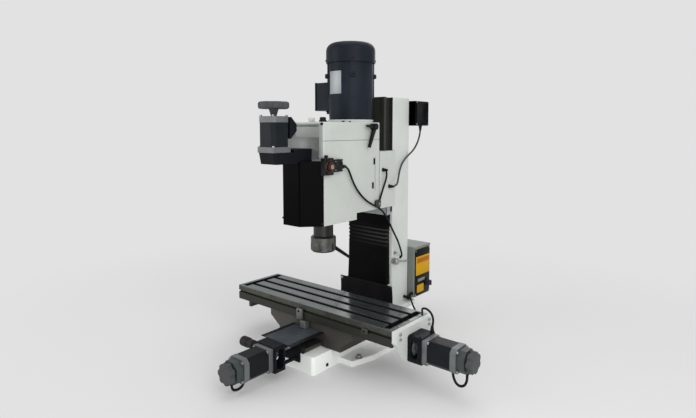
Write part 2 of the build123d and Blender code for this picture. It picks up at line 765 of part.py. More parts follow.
# Front bracket: a plate on the base, four pillars and an open box for the coupling
with BuildPart() as bracket:
    box_rear = Y_BRACKET_FRONT + Y_BRACKET_BOX
    block(
        (-Y_BRACKET_HALF, BASE_FRONT - Y_BRACKET_PLATE, Y_BRACKET_FOOT),
        (Y_BRACKET_HALF, BASE_FRONT, APRON_BOTTOM),
    )
    block(
        (-Y_BRACKET_HALF, Y_BRACKET_FRONT, Y_BRACKET_FOOT),
        (Y_BRACKET_HALF, box_rear, Y_BRACKET_TOP),
    )
    chamfer(bracket.edges().filter_by(Axis.Y).group_by(Axis.Z)[-1], Y_BRACKET_CHAMFER)
    with BuildSketch(front_plane(box_rear)):
        with Locations((0, Y_SCREW_Z)):
            with GridLocations(PILLAR_X, PILLAR_Z, 2, 2):
                Circle(PILLAR_R)
    extrude(amount=-(BASE_FRONT - Y_BRACKET_PLATE - box_rear))
    block(
        (-Y_BRACKET_HALF, Y_BRACKET_FRONT + Y_BRACKET_PLATE, Y_BRACKET_FOOT + Y_BRACKET_FLOOR),
        (Y_BRACKET_HALF, box_rear - Y_BRACKET_PLATE, Y_BRACKET_TOP - Y_BRACKET_ROOF),
        Mode.SUBTRACT,
    )
    rod(Y_MOTOR, Y_BRACKET_BORE_R, -Y_BRACKET_BOX, 0, Mode.SUBTRACT)
    rod(Y_MOTOR, JOURNAL_R + RUN_GAP, Y_BRACKET_FRONT - BASE_FRONT, -Y_BRACKET_BOX, Mode.SUBTRACT)
save(bracket, "y_drive_bracket")

# Round cable plug on the left of the front bracket
with BuildPart() as plug:
    plug_axis = Plane(
        (-Y_BRACKET_HALF, Y_BRACKET_FRONT + CONNECTOR_INSET, CONNECTOR_Z),
        x_dir=(0, 1, 0),
        z_dir=(-1, 0, 0),
    )
    rod(plug_axis, CONNECTOR_NECK_R, 0, CONNECTOR_NECK)
    rod(plug_axis, CONNECTOR_BODY_R, CONNECTOR_NECK, CONNECTOR_BODY)
    rod(plug_axis, CONNECTOR_R, CONNECTOR_BODY, CONNECTOR_REACH)
    fillet(plug.edges().group_by(Axis.X)[0], CONNECTOR_ROUND)
save(plug, "y_round_connector")


def motor_section(plane, height, size, corner, depth):
    """A square motor slice with cut corners, bored for its shaft."""
    with BuildSketch(plane.offset(height)) as section:
        Rectangle(size, size)
        chamfer(section.vertices(), corner)
        Circle(SHAFT_BORE_R, mode=Mode.SUBTRACT)
    extrude(section.sketch, amount=depth)


def make_stator(name, plane):
    """The laminated body between a motor's two end castings."""
    with BuildPart() as stator:
        motor_section(plane, MOTOR_FLANGE, STATOR_SQUARE, MOTOR_CHAMFER, MOTOR_STATOR)
    save(stator, name)


def make_end_caps(name, plane, encoder):
    """The mounting flange, the rear casting and, where fitted, the encoder box behind it."""
    rear = MOTOR_FLANGE + MOTOR_STATOR
    with BuildPart() as caps:
        with BuildSketch(plane) as flange:
            Rectangle(MOTOR_SQUARE, MOTOR_SQUARE)
            fillet(flange.vertices(), MOTOR_ROUND)
            Circle(SHAFT_BORE_R, mode=Mode.SUBTRACT)
            with GridLocations(MOTOR_BOLT_PITCH, MOTOR_BOLT_PITCH, 2, 2):
                Circle(MOTOR_BOLT_R, mode=Mode.SUBTRACT)
        extrude(amount=MOTOR_FLANGE)
        motor_section(plane, rear, MOTOR_SQUARE, MOTOR_CHAMFER, MOTOR_CAP)
        if encoder:
            motor_section(plane, MOTOR_LENGTH, ENCODER_SQUARE, ENCODER_CHAMFER, ENCODER_LENGTH)
    save(caps, name)


def make_knob(name, plane, shaft_start, hub_start, hub_length):
    """A lobed hand knob with the motor shaft that carries it."""
    rim = hub_start + hub_length
    with BuildPart() as knob:
        rod(plane, MOTOR_SHAFT_R, shaft_start, rim)
        rod(plane, KNOB_HUB_R, hub_start, rim)
        with BuildSketch(plane.offset(rim)):
            Circle(KNOB_R)
            with PolarLocations(KNOB_R + KNOB_BITE_OUT, KNOB_LOBES):
                Circle(KNOB_BITE_R, mode=Mode.SUBTRACT)
        extrude(amount=KNOB_THICK)
        faces = knob.faces().filter_by(Plane(plane.origin, z_dir=plane.z_dir))
        fillet(faces.sort_by(Axis(plane.origin, plane.z_dir))[-1].edges(), KNOB_ROUND)
    save(knob, name)


def make_coupling(name, plane, start, screw_r):
    """A clamp coupling between a screw journal and a motor shaft, on the motor's axis."""
    with BuildPart() as coupling:
        rod(plane, COUPLING_R, start, start + COUPLING_LENGTH)
        rod(plane, screw_r + PRESS_GAP, start, start + COUPLING_LENGTH / 2, Mode.SUBTRACT)
        rod(plane, MOTOR_SHAFT_R + PRESS_GAP, start, start + COUPLING_LENGTH, Mode.SUBTRACT)
    save(coupling, name)


for letter, plane, encoder in (("x", X_MOTOR, True), ("y", Y_MOTOR, True), ("z", Z_MOTOR, False)):
    make_stator(f"{letter}_motor_stator", plane)
    make_end_caps(f"{letter}_motor_end_caps", plane, encoder)

knob_seat = MOTOR_LENGTH + ENCODER_LENGTH + FACE_GAP
make_knob("x_handwheel", X_MOTOR, -X_HOUSING / 2, knob_seat, KNOB_HUB)
make_knob("y_handwheel", Y_MOTOR, -Y_BRACKET_BOX / 2, knob_seat, KNOB_HUB)
make_coupling("x_coupling", X_MOTOR, -X_HOUSING / 2 - COUPLING_LENGTH / 2, JOURNAL_R)
make_coupling("y_coupling", Y_MOTOR, -Y_BRACKET_BOX / 2 - COUPLING_LENGTH / 2, JOURNAL_R)

# Screws of the table and the saddle
with BuildPart() as x_screw:
    rod(x_axis, SCREW_R, -TABLE_END + FACE_GAP, TABLE_END - FACE_GAP)
    rod(x_axis, JOURNAL_R, -TABLE_END - END_PLATE_LEFT, -TABLE_END + FACE_GAP)
    rod(x_axis, JOURNAL_R, TABLE_END - FACE_GAP, X_MOTOR_FACE - X_HOUSING / 2)
save(x_screw, "x_ball_screw")

with BuildPart() as y_screw:
    front_end = -Y_BRACKET_BOX / 2
    nose = Y_BRACKET_FRONT - BASE_FRONT
    tail = Y_BRACKET_FRONT - Y_SCREW_END
    rod(Y_MOTOR, JOURNAL_R, nose - SCREW_SHOULDER, front_end)
    rod(Y_MOTOR, SCREW_R, tail + SCREW_TAIL_GAP, nose - SCREW_SHOULDER)
    rod(Y_MOTOR, JOURNAL_R, tail - SCREW_TAIL, tail + SCREW_TAIL_GAP)
save(y_screw, "y_ball_screw")

# Head casting: quill bore in front, gear room above, a slot for the quill's drive arm
with BuildPart() as head:
    block((-HEAD_HALF, HEAD_FRONT, HEAD_BOTTOM), (HEAD_HALF, HEAD_REAR, HEAD_SEAM))
    fillet(head.edges().filter_by(Axis.Z), HEAD_ROUND)
    block(
        (-HEAD_HALF, HEAD_STEP_Y, HEAD_BOTTOM),
        (HEAD_HALF, HEAD_REAR, HEAD_BOTTOM + HEAD_STEP),
        Mode.SUBTRACT,
    )
    room_front = HEAD_FRONT + HEAD_WALL + PLATE_LEDGE
    room_rear = HEAD_REAR - HEAD_WALL - PLATE_LEDGE
    block(
        (-GEAR_ROOM_HALF, room_front, GEAR_ROOM_FLOOR),
        (GEAR_ROOM_HALF, room_rear, HEAD_SEAM),
        Mode.SUBTRACT,
    )
    block(
        (-GEAR_ROOM_HALF - PLATE_LEDGE, room_front - PLATE_LEDGE, PLATE_BOTTOM),
        (GEAR_ROOM_HALF + PLATE_LEDGE, room_rear + PLATE_LEDGE, HEAD_SEAM),
        Mode.SUBTRACT,
    )
    block(
        (-GEAR_ROOM_HALF, HEAD_STEP_Y + HEAD_WALL, HEAD_BOTTOM),
        (GEAR_ROOM_HALF, room_rear, GEAR_ROOM_FLOOR - HEAD_WALL),
        Mode.SUBTRACT,
    )
    for side in (-1, 1):
        block(
            (min(side * CORE_INNER, side * GEAR_ROOM_HALF), room_front, HEAD_BOTTOM),
            (max(side * CORE_INNER, side * GEAR_ROOM_HALF), HEAD_STEP_Y, GEAR_ROOM_FLOOR - HEAD_WALL),
            Mode.SUBTRACT,
        )
    spindle_axis = Plane((0, SPINDLE_Y, 0))
    rod(spindle_axis, QUILL_R + RUN_GAP, HEAD_BOTTOM, GEAR_ROOM_FLOOR, Mode.SUBTRACT)
    counter_axis = Plane((0, COUNTER_Y, 0))
    rod(counter_axis, JOURNAL_R + RUN_GAP, GEAR_ROOM_FLOOR - COUNTER_SEAT, GEAR_ROOM_FLOOR, Mode.SUBTRACT)
    block(
        (-ARM_SLOT_HALF, HEAD_FRONT, ARM_SLOT_FOOT),
        (ARM_SLOT_HALF, SPINDLE_Y, COVER_TOP - ARM_SLOT_DROP),
        Mode.SUBTRACT,
    )
save(head, "head_casting")

# Bearing plate over the gear room
with BuildPart() as plate:
    half = GEAR_ROOM_HALF + PLATE_LEDGE - FACE_GAP
    block(
        (-half, room_front - PLATE_LEDGE + FACE_GAP, PLATE_BOTTOM),
        (half, room_rear + PLATE_LEDGE - FACE_GAP, HEAD_SEAM),
    )
    rod(spindle_axis, SLEEVE_R + RUN_GAP, PLATE_BOTTOM, HEAD_SEAM, Mode.SUBTRACT)
    rod(counter_axis, JOURNAL_R + RUN_GAP, PLATE_BOTTOM, HEAD_SEAM, Mode.SUBTRACT)
    motor_axis = Plane((0, MOTOR_Y, 0))
    rod(motor_axis, ROTOR_SHAFT_R + PLATE_SHAFT_ROOM, PLATE_BOTTOM, HEAD_SEAM, Mode.SUBTRACT)
save(plate, "gear_bearing_plate")

# Top cover of the head
with BuildPart() as lid:
    block((-HEAD_HALF, HEAD_FRONT, HEAD_SEAM), (HEAD_HALF, HEAD_REAR, HEAD_TOP))
    fillet(lid.edges().filter_by(Axis.Z), HEAD_ROUND)
    fillet(lid.edges().group_by(Axis.Z)[-1], LID_ROUND)
    block(
        (-HEAD_HALF + HEAD_WALL, HEAD_FRONT + HEAD_WALL, HEAD_SEAM),
        (HEAD_HALF - HEAD_WALL, HEAD_REAR - HEAD_WALL, HEAD_TOP - LID_SKIN),
        Mode.SUBTRACT,
    )
    rod(spindle_axis, DRAWBAR_R + DRAWBAR_ROOM, HEAD_TOP - LID_SKIN, HEAD_TOP, Mode.SUBTRACT)
    rod(motor_axis, ROTOR_SHAFT_R + LID_SHAFT_ROOM, HEAD_TOP - LID_SKIN, HEAD_TOP, Mode.SUBTRACT)
    lever_axis = Plane((0, LEVER_Y, LEVER_Z), x_dir=(0, 1, 0), z_dir=(1, 0, 0))
    rod(lever_axis, JOURNAL_R + RUN_GAP, HEAD_HALF - HEAD_WALL, HEAD_HALF, Mode.SUBTRACT)
save(lid, "head_top_cover")

# Head slide: it rides the column way, and its nut reaches in to the elevation screw
with BuildPart() as slide:
    block(
        (-HEAD_SLIDE_HALF, HEAD_REAR, SLIDE_BOTTOM),
        (HEAD_SLIDE_HALF, HEAD_SLIDE_BACK, HEAD_SLIDE_TOP),
    )
    fillet(slide.edges().filter_by(Axis.Z), SLIDE_ROUND)
    way_room = [
        (-Z_WAY_NECK - SLIDE_GAP, HEAD_SLIDE_BACK),
        (-Z_WAY_NECK - SLIDE_GAP, neck_front),
        (-COLUMN_HALF - SLIDE_GAP, Z_WAY_FRONT + Z_WAY_LAND),
        (-COLUMN_HALF - SLIDE_GAP, Z_WAY_FRONT - SLIDE_GAP),
        (COLUMN_HALF + SLIDE_GAP, Z_WAY_FRONT - SLIDE_GAP),
        (COLUMN_HALF + SLIDE_GAP, Z_WAY_FRONT + Z_WAY_LAND),
        (Z_WAY_NECK + SLIDE_GAP, neck_front),
        (Z_WAY_NECK + SLIDE_GAP, HEAD_SLIDE_BACK),
    ]
    slide_height = HEAD_SLIDE_TOP - SLIDE_BOTTOM
    outline(Plane.XY.offset(SLIDE_BOTTOM), way_room, slide_height, Mode.SUBTRACT)
    nut_half = NUT_SLOT_HALF - NUT_ARM_GAP
    block(
        (-nut_half, HEAD_REAR + NUT_ARM_INSET, NUT_ARM_FOOT),
        (nut_half, ELEVATION_Y + nut_half, NUT_ARM_TOP),
    )
    rod(elevation_axis, ELEVATION_R + RUN_GAP, NUT_ARM_FOOT, NUT_ARM_TOP, Mode.SUBTRACT)
save(slide, "head_slide")

# Elevation screw inside the column, hung from its crown, with a mitre gear at its foot
with BuildPart() as elevation:
    rod(elevation_axis, ELEVATION_R, CRANK_Z + BEVEL_R, COLUMN_TOP - COLUMN_CROWN - FACE_GAP)
    rod(elevation_axis, JOURNAL_R, COLUMN_TOP - COLUMN_CROWN - FACE_GAP, COLUMN_TOP)
    with BuildSketch(elevation_axis.offset(CRANK_Z + BEVEL_R - BEVEL_FACE)):
        Circle(BEVEL_R - BEVEL_FACE - FACE_GAP)
    with BuildSketch(elevation_axis.offset(CRANK_Z + BEVEL_R)):
        Circle(BEVEL_R - FACE_GAP)
    loft()
save(elevation, "elevation_screw")

# Elevation crank on the column's left, with its mitre gear and a black grip
with BuildPart() as crank:
    with BuildSketch(crank_axis.offset(BEVEL_R - BEVEL_FACE)):
        Circle(BEVEL_R - BEVEL_FACE - FACE_GAP)
    with BuildSketch(crank_axis.offset(BEVEL_R)):
        Circle(BEVEL_R - FACE_GAP)
    loft()
    rod(crank_axis, CRANK_SHAFT_R, BEVEL_R, -CRANK_X + CRANK_HUB_HALF)
    rod(crank_axis, CRANK_HUB_R, -CRANK_X - CRANK_HUB_HALF, -CRANK_X + CRANK_HUB_HALF)
    rise = math.radians(CRANK_RISE)
    reach = Vector(0, -math.cos(rise), math.sin(rise))
    hub = Vector(CRANK_X, ELEVATION_Y, CRANK_Z)
    arm = Plane(hub, x_dir=(1, 0, 0), z_dir=reach)
    grip_foot = CRANK_REACH - GRIP_LENGTH
    rod(arm, CRANK_ARM_R, CRANK_ARM_START, grip_foot + GRIP_LAP)
    with BuildSketch(arm.offset(grip_foot)):
        Circle(GRIP_ROOT_R)
    with BuildSketch(arm.offset(CRANK_REACH)):
        Circle(GRIP_R)
    loft()
    grip_end = crank.faces().sort_by(Axis(hub, reach))[-1]
    fillet(grip_end.edges(), GRIP_ROUND)
save(crank, "elevation_crank")

# Black front cover over the quill's screw
with BuildPart() as cover:
    shape = [
        (-HEAD_HALF, HEAD_FRONT),
        (-COVER_FACE_HALF, COVER_FRONT),
        (COVER_FACE_HALF, COVER_FRONT),
        (HEAD_HALF, HEAD_FRONT),
    ]
    outline(Plane.XY.offset(HEAD_BOTTOM), shape, COVER_TOP - HEAD_BOTTOM)
    fillet(cover.edges().filter_by(Axis.Z).group_by(Axis.Y)[0], COVER_ROUND)
    inside = [
        (-HEAD_HALF + 2 * COVER_SKIN, HEAD_FRONT),
        (-COVER_FACE_HALF + COVER_SKIN, COVER_FRONT + COVER_SKIN),
        (COVER_FACE_HALF - COVER_SKIN, COVER_FRONT + COVER_SKIN),
        (HEAD_HALF - 2 * COVER_SKIN, HEAD_FRONT),
    ]
    inner_height = COVER_TOP - HEAD_BOTTOM - 2 * COVER_SKIN
    outline(Plane.XY.offset(HEAD_BOTTOM + COVER_SKIN), inside, inner_height, Mode.SUBTRACT)
    z_screw_axis = Plane((0, Z_SCREW_Y, 0))
    rod(z_screw_axis, Z_SCREW_R + Z_SCREW_ROOM, COVER_TOP - COVER_SKIN, COVER_TOP, Mode.SUBTRACT)
save(cover, "front_cover")

# Belt bracket that carries the quill's motor out in front of the head
with BuildPart() as z_bracket:
    step_y = Z_MOTOR_Y + MOTOR_SQUARE / 2 + Z_BRACKET_STEP_GAP
    step_top = Z_BRACKET_TOP + Z_BRACKET_STEP
    drop_foot = COVER_TOP - Z_BRACKET_DROP
    drop_back = COVER_FRONT - Z_BRACKET_COVER_GAP
    profile = [
        (Z_BRACKET_FRONT + Z_BRACKET_TAPER, drop_foot),
        (drop_back, drop_foot),
        (drop_back, COVER_TOP),
        (HEAD_FRONT, COVER_TOP),
        (HEAD_FRONT, step_top),
        (step_y, step_top),
        (step_y, Z_BRACKET_TOP),
        (Z_BRACKET_FRONT, Z_BRACKET_TOP),
    ]
    outline(Plane.YZ.offset(-Z_BRACKET_HALF), profile, 2 * Z_BRACKET_HALF)
    nose_face = z_bracket.faces().sort_by(Axis.Y)[0]
    fillet(nose_face.edges().filter_by(Axis.X, reverse=True), Z_BRACKET_ROUND)
    room = Z_BRACKET_HALF - 2 * Z_BRACKET_WALL
    block(
        (-room, Z_BRACKET_FRONT + Z_BRACKET_NOSE, drop_foot),
        (room, HEAD_FRONT - Z_BRACKET_WALL, Z_BRACKET_TOP - Z_BRACKET_WALL),
        Mode.SUBTRACT,
    )
    rod(Z_MOTOR, SHAFT_BORE_R, -Z_BRACKET_WALL, 0, Mode.SUBTRACT)
    rod(z_screw_axis, Z_JOURNAL_R + RUN_GAP, Z_BRACKET_TOP - Z_BRACKET_WALL, step_top, Mode.SUBTRACT)
save(z_bracket, "z_drive_bracket")

# Quill screw with its belt pulley, and the motor's pulley on the knob's shaft
with BuildPart() as z_screw:
    rod(z_screw_axis, Z_SCREW_R, HEAD_BOTTOM + Z_SCREW_LIFT, PULLEY_FOOT)
    rod(z_screw_axis, PULLEY_R, PULLEY_FOOT, PULLEY_FOOT + PULLEY_LENGTH)
    rod(z_screw_axis, Z_JOURNAL_R, PULLEY_FOOT + PULLEY_LENGTH, step_top)
save(z_screw, "z_ball_screw")

with BuildPart() as z_knob:
    pulley_base = PULLEY_FOOT - Z_BRACKET_TOP
    rod(Z_MOTOR, PULLEY_R, pulley_base, pulley_base + PULLEY_LENGTH)
    rod(Z_MOTOR, MOTOR_SHAFT_R, pulley_base + PULLEY_LENGTH, MOTOR_LENGTH + FACE_GAP)
    rim = MOTOR_LENGTH + Z_KNOB_HUB
    with BuildSketch(Z_MOTOR.offset(MOTOR_LENGTH + FACE_GAP)):
        Circle(Z_HUB_FOOT_R)
    with BuildSketch(Z_MOTOR.offset(rim)):
        Circle(Z_HUB_TOP_R)
    loft()
    with BuildSketch(Z_MOTOR.offset(rim)):
        Circle(Z_KNOB_R)
        with PolarLocations(Z_KNOB_R + KNOB_BITE_OUT, KNOB_LOBES):
            Circle(KNOB_BITE_R, mode=Mode.SUBTRACT)
    extrude(amount=Z_KNOB_THICK)
    disc_faces = z_knob.faces().filter_by(Axis.Z).sort_by(SortBy.AREA)[-2:]
    fillet([edge for face in disc_faces for edge in face.outer_wire().edges()], Z_KNOB_ROUND)
save(z_knob, "z_handwheel")

# Quill with the arm and nut that its screw drives
with BuildPart() as quill:
    rod(spindle_axis, QUILL_R, QUILL_BOTTOM, QUILL_TOP)
    arm_foot = QUILL_TOP - ARM_HEIGHT
    arm_top = QUILL_TOP - ARM_DROP
    block((-ARM_HALF, Z_SCREW_Y, arm_foot), (ARM_HALF, SPINDLE_Y - ARM_INSET, arm_top))
    rod(z_screw_axis, NUT_BOSS_R, arm_foot - NUT_BOSS, arm_top)
    rod(z_screw_axis, Z_SCREW_R + RUN_GAP, arm_foot - NUT_BOSS, arm_top, Mode.SUBTRACT)
    rod(spindle_axis, SPINDLE_R + RUN_GAP, QUILL_BOTTOM, QUILL_TOP, Mode.SUBTRACT)
save(quill, "quill")

# Spindle with its splined tail and drawbar, bored for a tool shank
with BuildPart() as spindle:
    nose_seat = NOSE_BOTTOM + NOSE_RECESS
    rod(spindle_axis, SPINDLE_R, nose_seat, QUILL_TOP)
    rod(spindle_axis, SPLINE_R, QUILL_TOP, HEAD_TOP - SPLINE_DROP)
    rod(spindle_axis, DRAWBAR_R, HEAD_TOP - SPLINE_DROP, DRAWBAR_TOP)
    rod(spindle_axis, TOOL_BORE_R, nose_seat, nose_seat + TOOL_BORE_DEPTH, Mode.SUBTRACT)
    chamfer(spindle.edges().group_by(Axis.Z)[-1], DRAWBAR_CHAMFER)
save(spindle, "spindle")

# Collet nut on the spindle nose
with BuildPart() as nut:
    rod(spindle_axis, NOSE_R, NOSE_BOTTOM, NOSE_BOTTOM + NOSE_LENGTH)
    chamfer(nut.edges().group_by(Axis.Z)[0], NOSE_CHAMFER)
    chamfer(nut.edges().group_by(Axis.Z)[-1], NOSE_TOP_CHAMFER)
    rod(spindle_axis, TOOL_BORE_R + TOOL_ROOM, NOSE_BOTTOM, nose_seat, Mode.SUBTRACT)
    rod(spindle_axis, SPINDLE_R + PRESS_GAP, nose_seat, NOSE_BOTTOM + NOSE_LENGTH, Mode.SUBTRACT)
    with BuildSketch(spindle_axis.offset(NOSE_BOTTOM + SPANNER_LIFT)):
        with PolarLocations(NOSE_R, SPANNER_SLOTS):
            Rectangle(SPANNER_DEPTH, SPANNER_WIDTH)
    extrude(amount=SPANNER_HEIGHT, mode=Mode.SUBTRACT)
save(nut, "collet_nut")


def gear_wheel(plane, teeth, start, first_tooth):
    """A spur gear with straight-flanked teeth; first_tooth is the angle of one tooth's middle."""
    pitch_r = GEAR_MODULE * teeth / 2
    step = 2 * math.pi / teeth
    root_r = pitch_r - TOOTH_ROOT * GEAR_MODULE
    tip_r = pitch_r + TOOTH_TIP * GEAR_MODULE
    flank = (
        (root_r, -ROOT_SHARE),
        (pitch_r, -PITCH_SHARE),
        (tip_r, -TIP_SHARE),
        (tip_r, TIP_SHARE),
        (pitch_r, PITCH_SHARE),
        (root_r, ROOT_SHARE),
    )
    points = []
    for tooth in range(teeth):
        middle = math.radians(first_tooth) + tooth * step
        for radius, share in flank:
            angle = middle + share * step
            points.append((radius * math.cos(angle), radius * math.sin(angle)))
    outline(plane.offset(start), points, GEAR_FACE)


# Gear train: motor pinion, counter shaft and the gear sleeve that turns the spindle
with BuildPart() as sleeve:
    gear_wheel(spindle_axis, SPINDLE_GEAR_TEETH, LOW_GEAR_Z, 90 + 180 / SPINDLE_GEAR_TEETH)
    rod(spindle_axis, SLEEVE_COLLAR_R, LOW_GEAR_Z + GEAR_FACE, PLATE_BOTTOM - FACE_GAP)
    rod(spindle_axis, SLEEVE_R, PLATE_BOTTOM - FACE_GAP, HEAD_SEAM + FACE_GAP)
    rod(spindle_axis, SLEEVE_COLLAR_R, HEAD_SEAM + FACE_GAP, HEAD_SEAM + SLEEVE_COLLAR)
    rod(spindle_axis, SPLINE_R + RUN_GAP, LOW_GEAR_Z, HEAD_SEAM + SLEEVE_COLLAR, Mode.SUBTRACT)
save(sleeve, "spindle_gear")

with BuildPart() as counter:
    rod(counter_axis, JOURNAL_R, GEAR_ROOM_FLOOR - COUNTER_SEAT + FACE_GAP, HEAD_SEAM)
    gear_wheel(counter_axis, COUNTER_SMALL_TEETH, LOW_GEAR_Z, -90)
    gear_wheel(counter_axis, COUNTER_BIG_TEETH, HIGH_GEAR_Z, 90 + 180 / COUNTER_BIG_TEETH)
    rod(counter_axis, COUNTER_HUB_R, LOW_GEAR_Z + GEAR_FACE, HIGH_GEAR_Z)
save(counter, "counter_gear")

with BuildPart() as rotor:
    gear_wheel(motor_axis, PINION_TEETH, HIGH_GEAR_Z, -90)
    rod(motor_axis, ROTOR_SHAFT_R, HIGH_GEAR_Z + GEAR_FACE, BODY_TOP + FAN_TOP)
    rod(motor_axis, ROTOR_CORE_R, BELL_TOP + ROTOR_CORE_LIFT, BODY_TOP - ROTOR_CORE_DROP)
    rod(motor_axis, FAN_HUB_R, BODY_TOP + FAN_LIFT, BODY_TOP + FAN_TOP)
    with BuildSketch(motor_axis.offset(BODY_TOP + FAN_BLADE_LIFT)):
        with PolarLocations(FAN_BLADE_R, FAN_BLADES):
            Rectangle(FAN_BLADE_LENGTH, FAN_BLADE_THICK)
    extrude(amount=FAN_BLADE)
save(rotor, "motor_rotor")

# Spindle motor: lower bell, ribbed body, fan cowl and terminal box
with BuildPart() as bell:
    rod(motor_axis, BELL_FLANGE_R, HEAD_TOP, HEAD_TOP + BELL_FLANGE)
    with BuildSketch(motor_axis.offset(HEAD_TOP + BELL_FLANGE)):
        Circle(BELL_FOOT_R)
    with BuildSketch(motor_axis.offset(BELL_TOP)):
        Circle(BODY_R)
    loft()
    rod(motor_axis, BODY_BORE_R, HEAD_TOP + BELL_FLOOR, BELL_TOP, Mode.SUBTRACT)
    rod(motor_axis, ROTOR_SHAFT_R + RUN_GAP, HEAD_TOP, HEAD_TOP + BELL_FLOOR, Mode.SUBTRACT)
save(bell, "motor_end_bell")

with BuildPart() as body:
    with BuildSketch(motor_axis.offset(BELL_TOP)):
        Circle(BODY_R)
        with PolarLocations(BODY_R, RIB_COUNT, start_angle=RIB_START):
            Rectangle(2 * RIB_RISE, RIB_WIDTH)
    extrude(amount=BODY_TOP - BELL_TOP)
    rod(motor_axis, BODY_BORE_R, BELL_TOP, BODY_TOP - BODY_ROOF, Mode.SUBTRACT)
    rod(motor_axis, ROTOR_SHAFT_R + RUN_GAP, BODY_TOP - BODY_ROOF, BODY_TOP, Mode.SUBTRACT)
save(body, "motor_stator_body")

with BuildPart() as cowl_room:
    rod(motor_axis, COWL_R - COWL_SKIN, BODY_TOP + COWL_FOOT, COWL_TOP - COWL_SKIN)
    fillet(cowl_room.edges().group_by(Axis.Z)[-1], COWL_ROUND - COWL_SKIN)

with BuildPart() as cowl:
    rod(motor_axis, COWL_R, BODY_TOP, COWL_TOP)
    fillet(cowl.edges().group_by(Axis.Z)[-1], COWL_ROUND)
    add(cowl_room.part, mode=Mode.SUBTRACT)
    rod(motor_axis, COWL_FOOT_BORE_R, BODY_TOP, BODY_TOP + COWL_FOOT, Mode.SUBTRACT)
    with BuildSketch(motor_axis.offset(COWL_TOP - 2 * COWL_SKIN)):
        for ring, count in VENT_RINGS:
            with PolarLocations(ring, count):
                SlotOverall(VENT_LENGTH, VENT_WIDTH)
    extrude(amount=3 * COWL_SKIN, mode=Mode.SUBTRACT)
save(cowl, "motor_fan_cowl")

with BuildPart() as terminal:
    block(
        (-TERMINAL_REACH, MOTOR_Y - TERMINAL_HALF, TERMINAL_BOTTOM),
        (-BODY_R + TERMINAL_LAP, MOTOR_Y + TERMINAL_HALF, TERMINAL_TOP),
    )
    chamfer(terminal.edges().group_by(Axis.X)[0], TERMINAL_CHAMFER)
    block(
        (-TERMINAL_REACH + BOX_WALL, MOTOR_Y - TERMINAL_HALF + BOX_WALL, TERMINAL_BOTTOM + BOX_WALL),
        (-BODY_R + TERMINAL_LAP, MOTOR_Y + TERMINAL_HALF - BOX_WALL, TERMINAL_TOP - BOX_WALL),
        Mode.SUBTRACT,
    )
    rod(motor_axis, BODY_R + FACE_GAP, TERMINAL_BOTTOM, TERMINAL_TOP, Mode.SUBTRACT)
save(terminal, "terminal_box")

# Switch on the head's right side, with its round push button
button_axis = Plane((HEAD_HALF, BUTTON_Y, BUTTON_Z), x_dir=(0, 1, 0), z_dir=(1, 0, 0))
with BuildPart() as switch:
    face = HEAD_HALF + SWITCH_DEPTH
    block(
        (HEAD_HALF, SWITCH_FRONT, BUTTON_Z - SWITCH_HEAD_HALF),
        (face, SWITCH_STEP, BUTTON_Z + SWITCH_HEAD_HALF),
    )
    block((HEAD_HALF, SWITCH_STEP, SWITCH_BOTTOM), (face, SWITCH_REAR, SWITCH_TOP))
    chamfer(switch.edges().group_by(Axis.X)[-1], SWITCH_CHAMFER)
    rod(button_axis, BUTTON_STEM_R + FACE_GAP, SWITCH_DEPTH - BUTTON_BORE, SWITCH_DEPTH, Mode.SUBTRACT)
save(switch, "switch_box")

with BuildPart() as button:
    cap_foot = SWITCH_DEPTH + BUTTON_PROUD
    rod(button_axis, BUTTON_STEM_R, SWITCH_DEPTH - BUTTON_STEM, cap_foot)
    rod(button_axis, BUTTON_R, cap_foot, cap_foot + BUTTON_CAP)
    fillet(button.faces().sort_by(Axis.X)[-1].edges(), BUTTON_ROUND)
save(button, "switch_button")

# Gear lever on the right of the top cover: hub, pointer and drooping handle
with BuildPart() as lever:
    rod(lever_axis, JOURNAL_R, HEAD_HALF - HEAD_WALL + LEVER_SEAT, HEAD_HALF + LEVER_SHAFT)
    rod(lever_axis, LEVER_HUB_R, HEAD_HALF + FACE_GAP, HEAD_HALF + LEVER_HUB)
    lever_top = Vector(HEAD_HALF + LEVER_ARM_X, LEVER_Y, LEVER_Z)
    handle = Plane(lever_top, x_dir=(1, 0, 0), z_dir=LEVER_DROOP)
    with BuildSketch(handle.offset(LEVER_ROOT)):
        Rectangle(*HANDLE_ROOT)
    with BuildSketch(handle.offset(LEVER_HANDLE)):
        Rectangle(*HANDLE_END)
    loft()
    pointer = Plane(lever_top, x_dir=(1, 0, 0), z_dir=POINTER_WAY)
    with BuildSketch(pointer.offset(LEVER_ROOT)):
        Rectangle(*POINTER_ROOT)
    with BuildSketch(pointer.offset(LEVER_POINTER)):
        Rectangle(*POINTER_END)
    loft()
save(lever, "gear_lever")

# Bellows round the column way, below the head
with BuildPart() as bellows:
    tall = SLIDE_BOTTOM - BELLOWS_BOTTOM
    shape = [
        (-BELLOWS_HALF, BELLOWS_BACK),
        (-BELLOWS_HALF, BELLOWS_FRONT),
        (BELLOWS_HALF, BELLOWS_FRONT),
        (BELLOWS_HALF, BELLOWS_BACK),
        (BELLOWS_HALF - BELLOWS_WALL, BELLOWS_BACK),
        (BELLOWS_HALF - BELLOWS_WALL, BELLOWS_FRONT + BELLOWS_WALL),
        (-BELLOWS_HALF + BELLOWS_WALL, BELLOWS_FRONT + BELLOWS_WALL),
        (-BELLOWS_HALF + BELLOWS_WALL, BELLOWS_BACK),
    ]
    outline(Plane.XY.offset(BELLOWS_BOTTOM), shape, tall)
save(bellows, "column_bellows")

